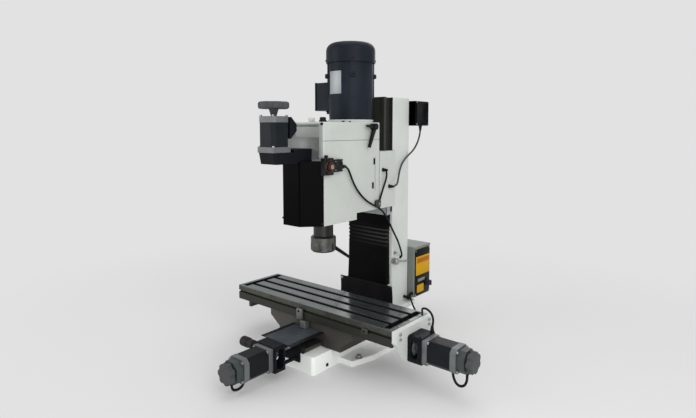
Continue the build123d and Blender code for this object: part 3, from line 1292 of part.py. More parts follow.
# Rubber skirt behind the table, hung from a shelf on the column way
with BuildPart() as skirt:
    block(
        (-SKIRT_HALF, SKIRT_FRONT, SKIRT_BOTTOM),
        (SKIRT_HALF, SKIRT_FRONT + SHEET, BELLOWS_BOTTOM),
    )
    block(
        (-BELLOWS_HALF, SKIRT_FRONT + SHEET, BELLOWS_BOTTOM - SHEET),
        (BELLOWS_HALF, Z_WAY_FRONT, BELLOWS_BOTTOM),
    )
save(skirt, "rear_skirt")

# Apron over the front ways, from the saddle to the front bracket
with BuildPart() as apron:
    block(
        (-Y_WAY_HALF - APRON_LAP, APRON_FRONT, APRON_BOTTOM),
        (Y_WAY_HALF + APRON_LAP, SADDLE_FRONT, APRON_BOTTOM + SHEET),
    )
save(apron, "front_way_apron")

# Control cabinet behind the column, with a rotary switch on its right side
dial_axis = Plane((CABINET_HALF, DIAL_Y, DIAL_Z), x_dir=(0, 1, 0), z_dir=(1, 0, 0))
with BuildPart() as cabinet:
    block((-CABINET_HALF, COLUMN_REAR, CABINET_BOTTOM), (CABINET_HALF, CABINET_REAR, CABINET_TOP))
    fillet(cabinet.edges().filter_by(Axis.Z), CABINET_ROUND)
    block(
        (-CABINET_HALF + CABINET_SKIN, COLUMN_REAR + CABINET_SKIN, CABINET_BOTTOM),
        (CABINET_HALF - CABINET_SKIN, CABINET_REAR - CABINET_SKIN, CABINET_TOP - CABINET_SKIN),
        Mode.SUBTRACT,
    )
    rod(dial_axis, DIAL_SHAFT_R + RUN_GAP, -CABINET_SKIN, 0, Mode.SUBTRACT)
save(cabinet, "control_box")

with BuildPart() as dial:
    rod(dial_axis, DIAL_SHAFT_R, -DIAL_SHAFT, FACE_GAP)
    rod(dial_axis, DIAL_R, FACE_GAP, DIAL_LENGTH)
    fillet(dial.faces().sort_by(Axis.X)[-1].edges(), DIAL_ROUND)
    grip_foot = CABINET_HALF + DIAL_LENGTH
    grip_reach = DIAL_R - DIAL_GRIP_INSET
    block(
        (grip_foot, DIAL_Y - DIAL_GRIP_HALF, DIAL_Z - grip_reach),
        (grip_foot + DIAL_GRIP, DIAL_Y + DIAL_GRIP_HALF, DIAL_Z + grip_reach),
    )
save(dial, "control_knob")

# Junction box high on the back of the column
with BuildPart() as junction:
    block(
        (JUNCTION_LEFT, COLUMN_REAR, JUNCTION_BOTTOM),
        (JUNCTION_RIGHT, JUNCTION_REAR, JUNCTION_TOP),
    )
    fillet(junction.edges().filter_by(Axis.Y), BOX_ROUND)
    block(
        (JUNCTION_LEFT + BOX_WALL, COLUMN_REAR, JUNCTION_BOTTOM + BOX_WALL),
        (JUNCTION_RIGHT - BOX_WALL, JUNCTION_REAR - BOX_WALL, JUNCTION_TOP - BOX_WALL),
        Mode.SUBTRACT,
    )
save(junction, "junction_box")


def make_cable(name, diameter, points):
    """A round cable along hand-chosen points, each corner rounded as far as its runs allow."""
    route = [Vector(*point) for point in points]
    radii = []
    for before, corner, after in zip(route, route[1:], route[2:]):
        turn = math.radians((corner - before).get_angle(after - corner))
        shorter = min((corner - before).length, (after - corner).length)
        radii.append(0.45 * shorter / math.tan(turn / 2))
    print(name, "radii", [round(radius, 1) for radius in radii])
    with BuildPart() as cable:
        with BuildLine() as path:
            FilletPolyline(*route, radius=radii)
        with BuildSketch(Plane(path.line @ 0, z_dir=path.line % 0)):
            Circle(diameter / 2)
        sweep()
    length = sum(edge.length for edge in path.edges())
    share = cable.part.volume / (math.pi * diameter**2 / 4 * length)
    print(name, "length", round(length, 1), "volume share", round(share, 4))
    save(cable, name)


# Cables
make_cable(
    "head_switch_cable",
    CABLE,
    [
        (119, SWITCH_REAR, 772),
        (119, -133, 772),
        (118.5, -115, 761),
        (117, -101, 741),
        (116, -82, 707),
        (115, -52, 669),
        (114, -14, 637),
        (113, 28, 611),
        (113, 72, 593),
    ],
)
make_cable(
    "head_drop_cable",
    CABLE,
    [
        (113, 72.5, 592.8),
        (113, 100.3, 581.4),
        (116, 129, 555),
        (118, 159, 516),
        (118.5, 191, 470),
        (118, 228, 422),
        (112, 257, 382),
        (104, 281, 352),
        (97, 293, 335),
        (88, 297.5, 329),
        (75, 298, 328),
    ],
)
make_cable(
    "head_loop_cable",
    CABLE,
    [
        (HEAD_SLIDE_HALF, 128, 742),
        (119, 128, 742),
        (126, 128.5, 735),
        (128, 128, 722),
        (125, 126, 700),
        (119, 119, 672),
        (115, 109, 642),
        (114, 98, 616),
    ],
)
make_cable(
    "junction_cable",
    CABLE,
    [
        (105, 424, JUNCTION_BOTTOM),
        (105, 424, 908),
        (104, 419, 880),
        (101, 405, 848),
        (97, 382, 819),
        (94, 350, 799),
        (94, 316, 781),
        (97, 284, 757),
        (106, 254, 728),
        (119, 228, 702),
        (130, 206, 684),
        (135, 190, 674),
        (131, 178, 669),
        (120, 174, 668),
        (HEAD_SLIDE_HALF, 174, 668),
    ],
)
make_cable(
    "x_motor_cable_rear",
    CABLE,
    [
        (110, COLUMN_REAR, 146),
        (110, 343, 146),
        (122, 326, 138),
        (146, 306, 124),
        (178, 276, 112),
        (216, 240, 106),
        (258, 196, 112),
        (300, 148, 130),
        (336, 98, 158),
        (362, 54, 190),
        (378, 20, 214),
    ],
)
make_cable(
    "x_motor_cable_front",
    CABLE,
    [
        (378.3, 19.5, 214.4),
        (392, -6, 236),
        (414, -28, 250),
        (440, -44, 256),
        (465, -58, 250),
        (480, -70, 236),
        (484, -80, 220),
        (484, -84, 208),
        (484, -84, X_SCREW_Z + X_HOUSING_HALF),
    ],
)
stator_foot = X_SCREW_Z - STATOR_SQUARE / 2
lead_start = X_MOTOR_FACE + MOTOR_FLANGE + MOTOR_STATOR - LEAD_INSET
lead_end = X_MOTOR_FACE + MOTOR_LENGTH + ENCODER_LENGTH - LEAD_END_INSET
make_cable(
    "x_lead_loop",
    LEAD,
    [
        (lead_start, TABLE_Y, stator_foot),
        (lead_start, TABLE_Y, stator_foot - 15),
        (lead_start + 4, TABLE_Y, stator_foot - 34),
        (lead_start + 15, TABLE_Y - 1, stator_foot - 50),
        (lead_start + 30, TABLE_Y - 1, stator_foot - 54),
        (lead_end - 8, TABLE_Y - 1, stator_foot - 46),
        (lead_end - 1, TABLE_Y, stator_foot - 28),
        (lead_end, TABLE_Y, stator_foot - 10),
        (lead_end, TABLE_Y, X_SCREW_Z - ENCODER_SQUARE / 2),
    ],
)
stator_foot = Y_SCREW_Z - STATOR_SQUARE / 2
lead_start = Y_BRACKET_FRONT - MOTOR_FLANGE - MOTOR_STATOR + LEAD_INSET
lead_end = Y_BRACKET_FRONT - MOTOR_LENGTH - ENCODER_LENGTH + LEAD_END_INSET
make_cable(
    "y_lead_loop",
    LEAD,
    [
        (0, lead_start, stator_foot),
        (0, lead_start, stator_foot - 9),
        (0, lead_start - 4, stator_foot - 20),
        (-1, lead_start - 14, stator_foot - 29),
        (-1, lead_start - 30, stator_foot - 31),
        (-1, lead_end + 8, stator_foot - 26),
        (0, lead_end + 1, stator_foot - 15),
        (0, lead_end, stator_foot - 5),
        (0, lead_end, Y_SCREW_Z - ENCODER_SQUARE / 2),
    ],
)
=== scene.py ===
"""Finishes and fittings for a motor-driven bench milling machine."""

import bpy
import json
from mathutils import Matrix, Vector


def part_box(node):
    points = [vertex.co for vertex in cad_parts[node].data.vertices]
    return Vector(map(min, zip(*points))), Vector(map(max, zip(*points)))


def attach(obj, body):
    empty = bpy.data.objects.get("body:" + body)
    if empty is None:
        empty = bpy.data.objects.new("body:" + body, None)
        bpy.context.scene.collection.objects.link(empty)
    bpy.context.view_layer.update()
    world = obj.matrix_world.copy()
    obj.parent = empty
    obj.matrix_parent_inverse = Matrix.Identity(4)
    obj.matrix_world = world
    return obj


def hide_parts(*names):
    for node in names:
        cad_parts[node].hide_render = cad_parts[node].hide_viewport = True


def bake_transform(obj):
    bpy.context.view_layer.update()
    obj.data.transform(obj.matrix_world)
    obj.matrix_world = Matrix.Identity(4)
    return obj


bl_info = {
    "name": "Bench Mill Finish",
    "version": (1, 1, 0),
    "blender": (4, 5, 0),
    "location": "View3D > Sidebar > Mill",
    "description": "Paints, cables, covers and small hardware for a bench milling machine",
    "category": "Object",
}

import itertools
import json
import math

import bpy
from mathutils import Matrix, Vector

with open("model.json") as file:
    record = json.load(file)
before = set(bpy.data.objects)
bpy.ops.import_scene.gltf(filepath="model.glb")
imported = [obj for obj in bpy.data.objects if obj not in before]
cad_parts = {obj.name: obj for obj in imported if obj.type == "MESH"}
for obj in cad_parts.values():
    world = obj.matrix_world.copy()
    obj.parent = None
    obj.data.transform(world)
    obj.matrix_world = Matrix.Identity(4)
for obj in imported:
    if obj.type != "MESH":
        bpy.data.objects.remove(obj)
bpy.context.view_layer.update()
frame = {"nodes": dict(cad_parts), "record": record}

UP, DOWN = Vector((0, 0, 1)), Vector((0, 0, -1))
RIGHT, LEFT = Vector((1, 0, 0)), Vector((-1, 0, 0))
BACK, FRONT = Vector((0, 1, 0)), Vector((0, -1, 0))


class Box:
    """The faces and the middle of a node at rest."""

    def __init__(self, node):
        low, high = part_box(node)
        self.left, self.front, self.foot = low
        self.right, self.back, self.top = high
        self.middle = (low + high) / 2


HEAD = Box("head_casting")
HEAD_COVER = Box("head_top_cover")
SPINDLE_MOTOR = Box("motor_end_bell")
SWITCH_BUTTON = Box("switch_button")
TABLE = Box("work_table")
X_MOTOR = Box("x_motor_end_caps")
Y_MOTOR = Box("y_motor_end_caps")
Z_MOTOR = Box("z_motor_end_caps")

# How far the front and rear castings of an axis motor reach from its mounting face
FRONT_CASTING, REAR_CASTING = 0.020, 0.130

# Rows of the table's slots, and the gutters across its two ends
SLOT_PITCH = 0.063
TABLE_SLOTS = tuple(TABLE.middle.y + row * SLOT_PITCH for row in (-1, 0, 1))
TABLE_GUTTER = TABLE.right - 0.030

# Side of the column's shaft, above its wider foot
COLUMN_SIDE = 0.085

# Heights over which the bellows' folds deepen, and over which they fade again below the collar
FOLDS_DEEPEN = (0.395, 0.440)
FOLDS_FADE = (0.478, 0.494)
STEPS_PER_PLEAT = 6

# Front edge of the apron, where it meets the front drive's bracket
APRON_FRONT = -0.392

# Cable routes from end to end, in millimetres
ROUTES = {
    "switch_cable": [
        (119, -153, 772), (119, -133, 772), (118.5, -115, 761), (117, -101, 741), (116, -82, 707),
        (115, -52, 669), (114, -14, 637), (113, 28, 611), (113, 72, 593)],
    "loop_cable": [
        (108, 128, 742), (119, 128, 742), (126, 128.5, 735), (128, 128, 722), (125, 126, 700),
        (119, 119, 672), (115, 109, 642), (114, 98, 616)],
    "drop_cable": [
        (113, 72.5, 592.8), (113, 100.3, 581.4), (116, 129, 555), (118, 159, 516), (118.5, 191, 470),
        (118, 228, 422), (112, 257, 382), (104, 281, 352), (97, 293, 335), (88, 297.5, 329), (75, 298, 328)],
    "box_cable": [
        (105, 424, 930), (105, 424, 908), (104, 419, 880), (101, 405, 848), (97, 382, 819), (94, 350, 799),
        (94, 316, 781), (97, 284, 757), (106, 254, 728), (119, 228, 702), (130, 206, 684), (135, 190, 674),
        (131, 178, 669), (120, 174, 668), (108, 174, 668)],
    "table_motor_cable_rear": [
        (110, 361, 146), (110, 343, 146), (122, 326, 138), (146, 306, 124), (178, 276, 112), (216, 240, 106),
        (258, 196, 112), (300, 148, 130), (336, 98, 158), (362, 54, 190), (378, 20, 214)],
    "table_motor_cable_front": [
        (378.3, 19.5, 214.4), (392, -6, 236), (414, -28, 250), (440, -44, 256), (465, -58, 250),
        (480, -70, 236), (484, -80, 220), (484, -84, 208), (484, -84, 194)],
    "table_motor_lead": [
        (588, -120, 104), (588, -120, 89), (592, -120, 70), (603, -121, 54), (618, -121, 50), (634, -121, 58),
        (641, -120, 76), (642, -120, 94), (642, -120, 107)],
    "saddle_motor_lead": [
        (0, -543, 42), (0, -543, 33), (0, -547, 22), (-1, -557, 13), (-1, -573, 11), (-1, -589, 16),
        (0, -596, 27), (0, -597, 37), (0, -597, 45)],
}


# Settings


def colour_setting(name, description, default):
    return bpy.props.FloatVectorProperty(
        name=name, description=description, subtype="COLOR", default=default, min=0, max=1)


def length_setting(name, description, default):
    return bpy.props.FloatProperty(name=name, description=description, unit="LENGTH", default=default, min=0)


def angle_setting(name, description, degrees):
    return bpy.props.FloatProperty(
        name=name, description=description, subtype="ANGLE", default=math.radians(degrees))


class MillPaintSettings(bpy.types.PropertyGroup):
    """Colours of the machine's paints, plastics and metals."""

    # The base, column and head share one white paint: the base's is brightened with painted light, the head's
    # darkened with painted shade and tinted a little green.
    base: colour_setting("Base paint", "Off-white paint of the base", (0.94, 0.96, 0.935))
    head: colour_setting("Head paint", "Grey-white paint of the head", (0.525, 0.555, 0.52))
    column: colour_setting("Column paint", "Cooler white of the column and end plates", (0.61, 0.635, 0.615))
    # The front panel's grey: a plate in part, and in part painted shade on the head's front face.
    panel: colour_setting("Front panel", "Grey plate on the front of the head", (0.27, 0.285, 0.275))
    motor: colour_setting("Spindle motor", "Dark navy paint of the spindle motor", (0.0100, 0.0138, 0.0200))
    cover: colour_setting("Front cover", "Black gloss of the front cover", (0.0011, 0.0011, 0.0016))
    plate: colour_setting("Drive plates", "Blue-black finish of the motor brackets", (0.0045, 0.0058, 0.0080))
    stator: colour_setting("Stators", "Dark lacquer of the axis motors", (0.0080, 0.0105, 0.0135))
    table: colour_setting("Table iron", "Bare iron of the work table", (0.20, 0.216, 0.223))
    saddle: colour_setting("Saddle iron", "Oiled brown-grey iron of the saddle", (0.060, 0.056, 0.047))
    steel: colour_setting("Bright steel", "Turned and ground steel", (0.40, 0.40, 0.39))
    nose: colour_setting("Spindle steel", "Darker steel of the quill and collet nut", (0.050, 0.050, 0.047))
    alloy: colour_setting("Cast alloy", "Motor end castings", (0.145, 0.154, 0.158))
    knob: colour_setting("Handwheels", "Charcoal plastic of the motor handwheels", (0.050, 0.054, 0.057))
    rubber: colour_setting("Rubber", "Black rubber of the bellows and cables", (0.005, 0.005, 0.006))
    apron: colour_setting("Apron", "Blue-grey rubber of the front apron", (0.040, 0.047, 0.055))
    cabinet: colour_setting("Control box", "Grey paint of the control box", (0.20, 0.225, 0.20))
    yellow: colour_setting("Box panel", "Yellow panel on the control box", (0.60, 0.33, 0.008))
    amber: colour_setting("Switch", "Amber surround of the push button", (0.030, 0.0095, 0.0028))
    # The button's beige is a painted highlight on its amber.
    button: colour_setting("Button", "Beige cap of the push button", (0.30, 0.20, 0.155))


class MillStageSettings(bpy.types.PropertyGroup):
    """Camera and backdrop."""

    eye: bpy.props.FloatVectorProperty(
        name="Camera place", description="Where the camera stands",
        subtype="TRANSLATION", unit="LENGTH", default=(1.408, -1.651, 0.918))
    heading: angle_setting("Camera heading", "Turn of the camera to the left of straight ahead", 40.03)
    tilt: angle_setting("Camera tilt", "Downward tilt of the camera", 5.06)
    lens: bpy.props.FloatProperty(
        name="Lens", description="Focal length on a 36 mm wide sensor", default=26.82, min=10)
    shift: bpy.props.FloatProperty(
        name="Shift", description="Drop of the frame below the lens axis", default=-0.05)
    floor: colour_setting("Floor", "Pale floor", (0.62, 0.62, 0.62))
    backdrop: colour_setting("Backdrop", "Pale grey behind the machine", (0.76, 0.76, 0.76))
    glow: bpy.props.FloatProperty(
        name="Surrounding light", description="Strength of the even light from all round",
        default=0.55, min=0)


class MillFittingSettings(bpy.types.PropertyGroup):
    """Sizes of the small hardware and the soft covers."""

    screw_radius: length_setting("Motor screw", "Head radius of the motor screws", 0.005)
    pleat: length_setting("Pleat pitch", "Height of one bellows pleat", 0.017)
    pleat_depth: length_setting("Pleat depth", "Depth of the pleats below the collar", 0.0034)
    collar: length_setting("Collar height", "Height of the plate that holds the top of the bellows", 0.033)
    cable: length_setting("Cable diameter", "Diameter of the control cables", 0.008)
    lead: length_setting("Lead diameter", "Diameter of the motor leads", 0.009)


# Shader maths


class Wire:
    """A value in a material; arithmetic on it adds Math nodes."""

    def __init__(self, paint, socket):
        self.paint = paint
        self.socket = socket

    def math(self, operation, *values):
        return self.paint.node("ShaderNodeMath", {"operation": operation}, dict(enumerate(values)))

    def __add__(self, other):
        return self.math("ADD", self, other)

    def __radd__(self, other):
        return self.math("ADD", other, self)

    def __sub__(self, other):
        return self.math("SUBTRACT", self, other)

    def __rsub__(self, other):
        return self.math("SUBTRACT", other, self)

    def __mul__(self, other):
        return self.math("MULTIPLY", self, other)

    def __rmul__(self, other):
        return self.math("MULTIPLY", other, self)

    def sine(self):
        return self.math("SINE", self)

    def root(self):
        return self.math("SQRT", self)

    def size(self):
        return self.math("ABSOLUTE", self)

    def least(self, other):
        return self.math("MINIMUM", self, other)

    def rise(self, low, high):
        """0 below low, 1 above high, and smooth between."""
        return self.paint.node(
            "ShaderNodeMapRange", {"interpolation_type": "SMOOTHSTEP"},
            {"Value": self, "From Min": low, "From Max": high, "To Min": 0.0, "To Max": 1.0})

    def past(self, place, blur):
        """0 before a place and 1 after it, with a blur to each side."""
        return self.rise(place - blur, place + blur)


class Paint:
    """One material, wired node by node."""

    def __init__(self, name, metallic=0.0, roughness=0.5, specular=0.5):
        self.material = bpy.data.materials.new(name)
        self.material.use_nodes = True
        self.tree = self.material.node_tree
        self.tree.nodes.clear()
        self.shader = self.tree.nodes.new("ShaderNodeBsdfPrincipled")
        out = self.tree.nodes.new("ShaderNodeOutputMaterial")
        self.tree.links.new(self.shader.outputs["BSDF"], out.inputs["Surface"])
        self.set("Metallic", metallic)
        self.set("Roughness", roughness)
        self.set("Specular IOR Level", specular)
        self.coordinates = self.node("ShaderNodeTexCoord", output="Object")

    def node(self, kind, settings=None, inputs=None, output=0):
        item = self.tree.nodes.new(kind)
        for key, value in (settings or {}).items():
            setattr(item, key, value)
        for key, value in (inputs or {}).items():
            self.join(value, item.inputs[key])
        return Wire(self, item.outputs[output])

    def join(self, value, socket):
        if isinstance(value, Wire):
            self.tree.links.new(value.socket, socket)
        else:
            socket.default_value = value

    def set(self, name, value):
        self.join(value, self.shader.inputs[name])

    def axes(self):
        parts = self.node("ShaderNodeSeparateXYZ", None, {0: self.coordinates})
        return [Wire(self, socket) for socket in parts.socket.node.outputs]

    def along(self, axis):
        return self.axes()["XYZ".index(axis)]

    def ripple(self, axis, pitch):
        """Waves along an axis, from 0 to 1."""
        return (self.along(axis) * (2 * math.pi / pitch)).sine() * 0.5 + 0.5

    def noise(self, scale, detail, stretch=None):
        place = self.coordinates
        if stretch:
            place = self.node(
                "ShaderNodeMapping", {"vector_type": "TEXTURE"}, {"Vector": place, "Scale": stretch})
        return self.node(
            "ShaderNodeTexNoise", None, {"Vector": place, "Scale": scale, "Detail": detail})

    def mix(self, factor, first, second):
        inputs = {0: factor}
        for place, colour in ((6, first), (7, second)):
            inputs[place] = colour if isinstance(colour, Wire) else (*colour[:3], 1.0)
        return self.node("ShaderNodeMix", {"data_type": "RGBA"}, inputs, output=2)

    def mottle(self, factor, colour, dark, light):
        """One colour, shaded from dark to light."""
        return self.mix(factor, shade(colour, dark), shade(colour, light))

    def done(self, tone, roughness, relief, strength, distance):
        """Wires the colour, the roughness and a bump to the shader, and gives the material."""
        self.set("Base Color", tone)
        self.set("Roughness", roughness)
        self.set("Normal", self.node(
            "ShaderNodeBump", None, {"Height": relief, "Strength": strength, "Distance": distance}))
        return self.material


def shade(colour, factor):
    return tuple(min(1.0, channel * factor) for channel in colour[:3])


def warm(colour, factor=1.0):
    return (colour[0] * 0.80 * factor, colour[1] * 0.74 * factor, colour[2] * 0.62 * factor)


# Finishes

PRIMER = (0.16, 0.155, 0.14)
WAY_DARK, WAY_LIGHT = (0.018, 0.018, 0.016), (0.042, 0.042, 0.036)
DUST = (0.32, 0.32, 0.33)
CHALK = (0.16, 0.16, 0.165)
CHARCOAL = (0.034, 0.042, 0.044)
FOLD_HIGHLIGHT = (0.060, 0.060, 0.064)


def casting_paint(name, colour, bare=None, grime_top=0.0, ground=(1.0, 0.05, 1.0)):
    """Thick white machine paint with faint mottling and grime; bare gives where iron shows instead."""
    paint = Paint(name, specular=0.4)
    x, y, z = paint.axes()
    tone = paint.mottle(paint.noise(7.0, 4.0).rise(0.35, 0.65), colour, 0.965, 1.03)
    runs = paint.noise(34.0, 4.0, (1.0, 1.0, 9.0)).rise(0.56, 0.80) * 0.10
    grime = runs + paint.noise(26.0, 6.0).rise(0.60, 0.82) * 0.16
    if grime_top:
        low = 1 - z.rise(0.0, grime_top)
        grime = grime + low * paint.noise(14.0, 5.0).rise(0.42, 0.75) * 0.20
    tone = paint.mix(grime, tone, warm(colour))
    chips = paint.noise(60.0, 3.0).rise(0.775, 0.795)
    tone = paint.mix(chips * 0.5, tone, PRIMER)
    rough = 0.34 + paint.noise(40.0, 3.0) * 0.14
    if bare:
        mask = bare(x, y, z)
        streak = paint.noise(9.0, 3.0, ground)
        tone = paint.mix(mask, tone, paint.mix(streak.rise(0.3, 0.7), WAY_DARK, WAY_LIGHT))
        rough = rough * (1 - mask) + mask * 0.42
        paint.set("Metallic", mask * 0.2)
    peel = paint.noise(420.0, 1.0) * 0.5 + paint.noise(60.0, 2.0)
    return paint.done(tone, rough, peel, 0.10, 0.0008)


def table_iron(name, colour):
    """Ground iron table: tool marks along its length, dark sides, edges rubbed bright, painted shade in its
    slots and grooves, and a painted reflection darkening its right rear.
    """
    paint = Paint(name, specular=0.06)
    x, y, z = paint.axes()
    top = TABLE.top
    marks = paint.noise(22.0, 5.0, (2.5, 0.05, 0.05))
    tone = paint.mottle(marks.rise(0.25, 0.75), colour, 0.80, 1.22)
    stain = paint.noise(17.0, 5.0).rise(0.52, 0.75)
    tone = paint.mix(stain * 0.5, tone, warm(colour, 0.62))
    # Painted reflection: the right rear of the top darkened, as the dark bellows and column would darken it.
    away = y.rise(-0.20, -0.04) * x.rise(0.0, 0.30)
    tone = paint.mix(away * 0.45, tone, shade(colour, 0.40))
    below = 1 - z.rise(top - 0.0008, top - 0.0001)
    side = paint.mix(paint.noise(30.0, 4.0).rise(0.3, 0.7), warm(colour, 0.40), warm(colour, 0.62))
    rim = paint.mix(z.rise(top - 0.029, top - 0.021), warm(colour, 0.32), side)
    tone = paint.mix(below, tone, rim)
    edge = z.rise(top - 0.0025, top - 0.0008) * (1 - z.rise(top - 0.0007, top))
    tone = paint.mix(edge * 0.55, tone, shade(colour, 1.4))
    # Painted shade: the slots, the end gutters and the front groove darkened, a little wider than the slots
    # themselves.
    slots = sum(1 - (y - row).size().rise(0.0100, 0.0135) for row in TABLE_SLOTS)
    across = 1 - (y - TABLE.middle.y).size().rise(0.104, 0.107)
    gutters = (1 - (x.size() - TABLE_GUTTER).size().rise(0.0125, 0.0165)) * across
    forward = 1 - y.rise(TABLE.front - 0.003, TABLE.front + 0.010)
    groove_shade = (1 - (z - (top - 0.026)).size().rise(0.0042, 0.0054)) * forward
    recess_shade = (slots * (1 - x.size().rise(0.394, 0.398)) + gutters + groove_shade).least(1.0)
    tone = paint.mix(recess_shade * 0.92, tone, shade(colour, 0.03))
    paint.set("Metallic", 0.85 - recess_shade * 0.75)
    patches = paint.noise(9.0, 4.0).rise(0.4, 0.7)
    rough = 0.12 + marks * 0.08 + patches * 0.08 + (recess_shade + below).least(1.0) * 0.25
    return paint.done(tone, rough, marks + paint.noise(160.0, 2.0) * 0.4, 0.10, 0.0004)


def oiled_iron(name, colour):
    """Rough iron casting with an old oil film; painted shade darkens its right-hand part, leaving the left
    browner and lighter.
    """
    paint = Paint(name, metallic=0.25)
    film = paint.noise(6.0, 5.0)
    tone = paint.mottle(film.rise(0.3, 0.7), colour, 0.75, 1.20)
    # Painted shade: darker to the right, where the saddle lies under the table.
    tone = paint.mix(paint.along("X").rise(-0.10, 0.05) * 0.55, tone, shade(colour, 0.42))
    grit = paint.noise(140.0, 4.0)
    tone = paint.mix(grit.rise(0.62, 0.8) * 0.5, tone, shade(colour, 0.35))
    return paint.done(tone, 0.40 + film * 0.25, grit, 0.30, 0.0012)


def turned_steel(name, colour, axis="Z", pitch=0.0007, ring=0.10):
    """Turned steel: fine rings along the turning axis and a light oil tone."""
    paint = Paint(name, metallic=1.0)
    rings = paint.ripple(axis, pitch)
    drift = paint.noise(30.0, 3.0)
    tone = paint.mottle(drift.rise(0.3, 0.7), colour, 0.62, 1.1)
    return paint.done(tone, 0.24 + drift * 0.2 + rings * 0.05, rings, ring, pitch * 0.3)


def satin_enamel(name, colour, roughness=0.40, mark=1.5, specular=0.10, dusty=0.012):
    """Enamel or anodised finish with faint rub marks and dust."""
    paint = Paint(name, specular=specular)
    tone = paint.mottle(paint.noise(8.0, 4.0).rise(0.3, 0.75), colour, 0.88, mark)
    tone = paint.mix(paint.noise(70.0, 5.0).rise(0.60, 0.85) * dusty, tone, DUST)
    rough = roughness - 0.06 + paint.noise(24.0, 4.0) * 0.16
    return paint.done(tone, rough, paint.noise(300.0, 2.0), 0.10, 0.0006)


def gloss_sheet(name, colour):
    """Bent gloss-black sheet with faint waviness and wiping marks."""
    paint = Paint(name, specular=0.03)
    wipe = paint.noise(12.0, 5.0, (1.0, 1.0, 0.25))
    tone = paint.mottle(wipe.rise(0.45, 0.8), colour, 1.0, 1.6)
    return paint.done(tone, 0.24 + wipe * 0.16, paint.noise(3.5, 1.0), 0.12, 0.004)


def cast_alloy(name, colour, metallic=0.9, dark=None):
    """Bead-blasted aluminium castings and plated hardware; dark gives where a charcoal coat covers it."""
    paint = Paint(name, metallic=metallic)
    cloud = paint.noise(18.0, 4.0)
    tone = paint.mottle(cloud.rise(0.3, 0.7), colour, 0.82, 1.12)
    if dark:
        mask = dark(*paint.axes())
        tone = paint.mix(mask, tone, CHARCOAL)
        paint.set("Metallic", metallic * (1 - mask))
    return paint.done(tone, 0.40 + cloud * 0.18, paint.noise(700.0, 2.0), 0.16, 0.0003)


def laminations(name, colour, axis):
    """Stacked motor laminations under dark lacquer: fine lines across the motor's axis."""
    paint = Paint(name, specular=0.15)
    lines = paint.ripple(axis, 0.0016)
    cloud = paint.noise(14.0, 4.0)
    tone = paint.mottle(cloud.rise(0.3, 0.75), colour, 0.85, 1.5)
    tone = paint.mix(lines * 0.25, tone, shade(colour, 0.5))
    return paint.done(tone, 0.36 + cloud * 0.14, lines, 0.35, 0.0003)


def moulded_rubber(name, colour, grain=260.0, specular=0.08):
    """Rubber with a soft sheen and a little chalky dust in its grain."""
    paint = Paint(name, specular=specular)
    cloud = paint.noise(11.0, 5.0)
    tone = paint.mottle(cloud.rise(0.35, 0.7), colour, 1.0, 1.6)
    tone = paint.mix(paint.noise(48.0, 6.0).rise(0.58, 0.85) * 0.01, tone, CHALK)
    return paint.done(tone, 0.36 + cloud * 0.22, paint.noise(grain, 3.0), 0.16, 0.0005)


def bound_rubber(name, colour, reach):
    """Rubber sheet whose two long edges are bound in black, from a reach off its middle."""
    paint = Paint(name, specular=0.2)
    cloud = paint.noise(11.0, 5.0)
    tone = paint.mottle(cloud.rise(0.35, 0.7), colour, 1.0, 1.5)
    binding = paint.along("X").size().rise(reach, reach + 0.002)
    tone = paint.mix(binding, tone, shade(colour, 0.14))
    return paint.done(tone, 0.36 + cloud * 0.22, paint.noise(160.0, 3.0), 0.16, 0.0005)


def pleated_rubber(name, colour):
    """Black rubber with painted highlights on its upper folds, as the sheet's own fold_highlight attribute
    says.
    """
    paint = Paint(name, specular=0.04)
    cloud = paint.noise(11.0, 5.0)
    tone = paint.mottle(cloud.rise(0.35, 0.7), colour, 1.0, 1.6)
    fold_highlight = paint.node("ShaderNodeAttribute", {"attribute_name": "fold_highlight"}, output="Fac")
    tone = paint.mix(fold_highlight * (0.35 + cloud * 0.9), tone, FOLD_HIGHLIGHT)
    return paint.done(tone, 0.34 + cloud * 0.22, paint.noise(260.0, 3.0), 0.16, 0.0005)


def moulded_plastic(name, colour, roughness, specular=0.3):
    """Fine-grained moulded plastic with handling shine."""
    paint = Paint(name, specular=specular)
    cloud = paint.noise(20.0, 3.0)
    tone = paint.mottle(cloud.rise(0.3, 0.7), colour, 0.88, 1.2)
    return paint.done(tone, roughness - 0.08 + cloud * 0.18, paint.noise(900.0, 1.0), 0.18, 0.0003)


def brushed_plate(name, colour, along, metallic):
    """Thin plate with a brushed grain."""
    paint = Paint(name, metallic=metallic, specular=0.35)
    grain = paint.noise(26.0, 4.0, [1.0 if axis == along else 0.02 for axis in "XYZ"])
    tone = paint.mottle(grain.rise(0.2, 0.8), colour, 0.90, 1.10)
    tone = paint.mix(paint.noise(16.0, 5.0).rise(0.5, 0.8) * 0.22, tone, warm(colour, 0.9))
    return paint.done(tone, 0.34 + grain * 0.2, grain, 0.06, 0.0003)


def push_button_highlight(name, cap, surround, centre, radius):
    """A beige disc, a painted highlight, in the button's dark amber: two colours by distance from the
    button's axis along X.
    """
    paint = Paint(name, specular=0.25)
    y, z = paint.axes()[1:]
    away = ((y - centre.y) * (y - centre.y) + (z - centre.z) * (z - centre.z)).root()
    cloud = paint.noise(60.0, 3.0)
    tone = paint.mottle(cloud.rise(0.3, 0.7), cap, 0.85, 1.1)
    tone = paint.mix(away.past(radius, 0.0006), tone, surround)
    return paint.done(tone, 0.26 + cloud * 0.16, paint.noise(900.0, 1.0), 0.12, 0.0003)


def base_bare(x, y, z):
    """The ground cross ways and the trough between them."""
    return z.rise(0.0702, 0.0710) * (1 - y.rise(0.139, 0.140))


def column_bare(x, y, z):
    """The ground face of the upright way, with its sides bare above the bellows."""
    limit = 0.180 + z.rise(0.545, 0.546) * 0.0542
    return 1 - (y - limit).rise(-0.001, 0.0)


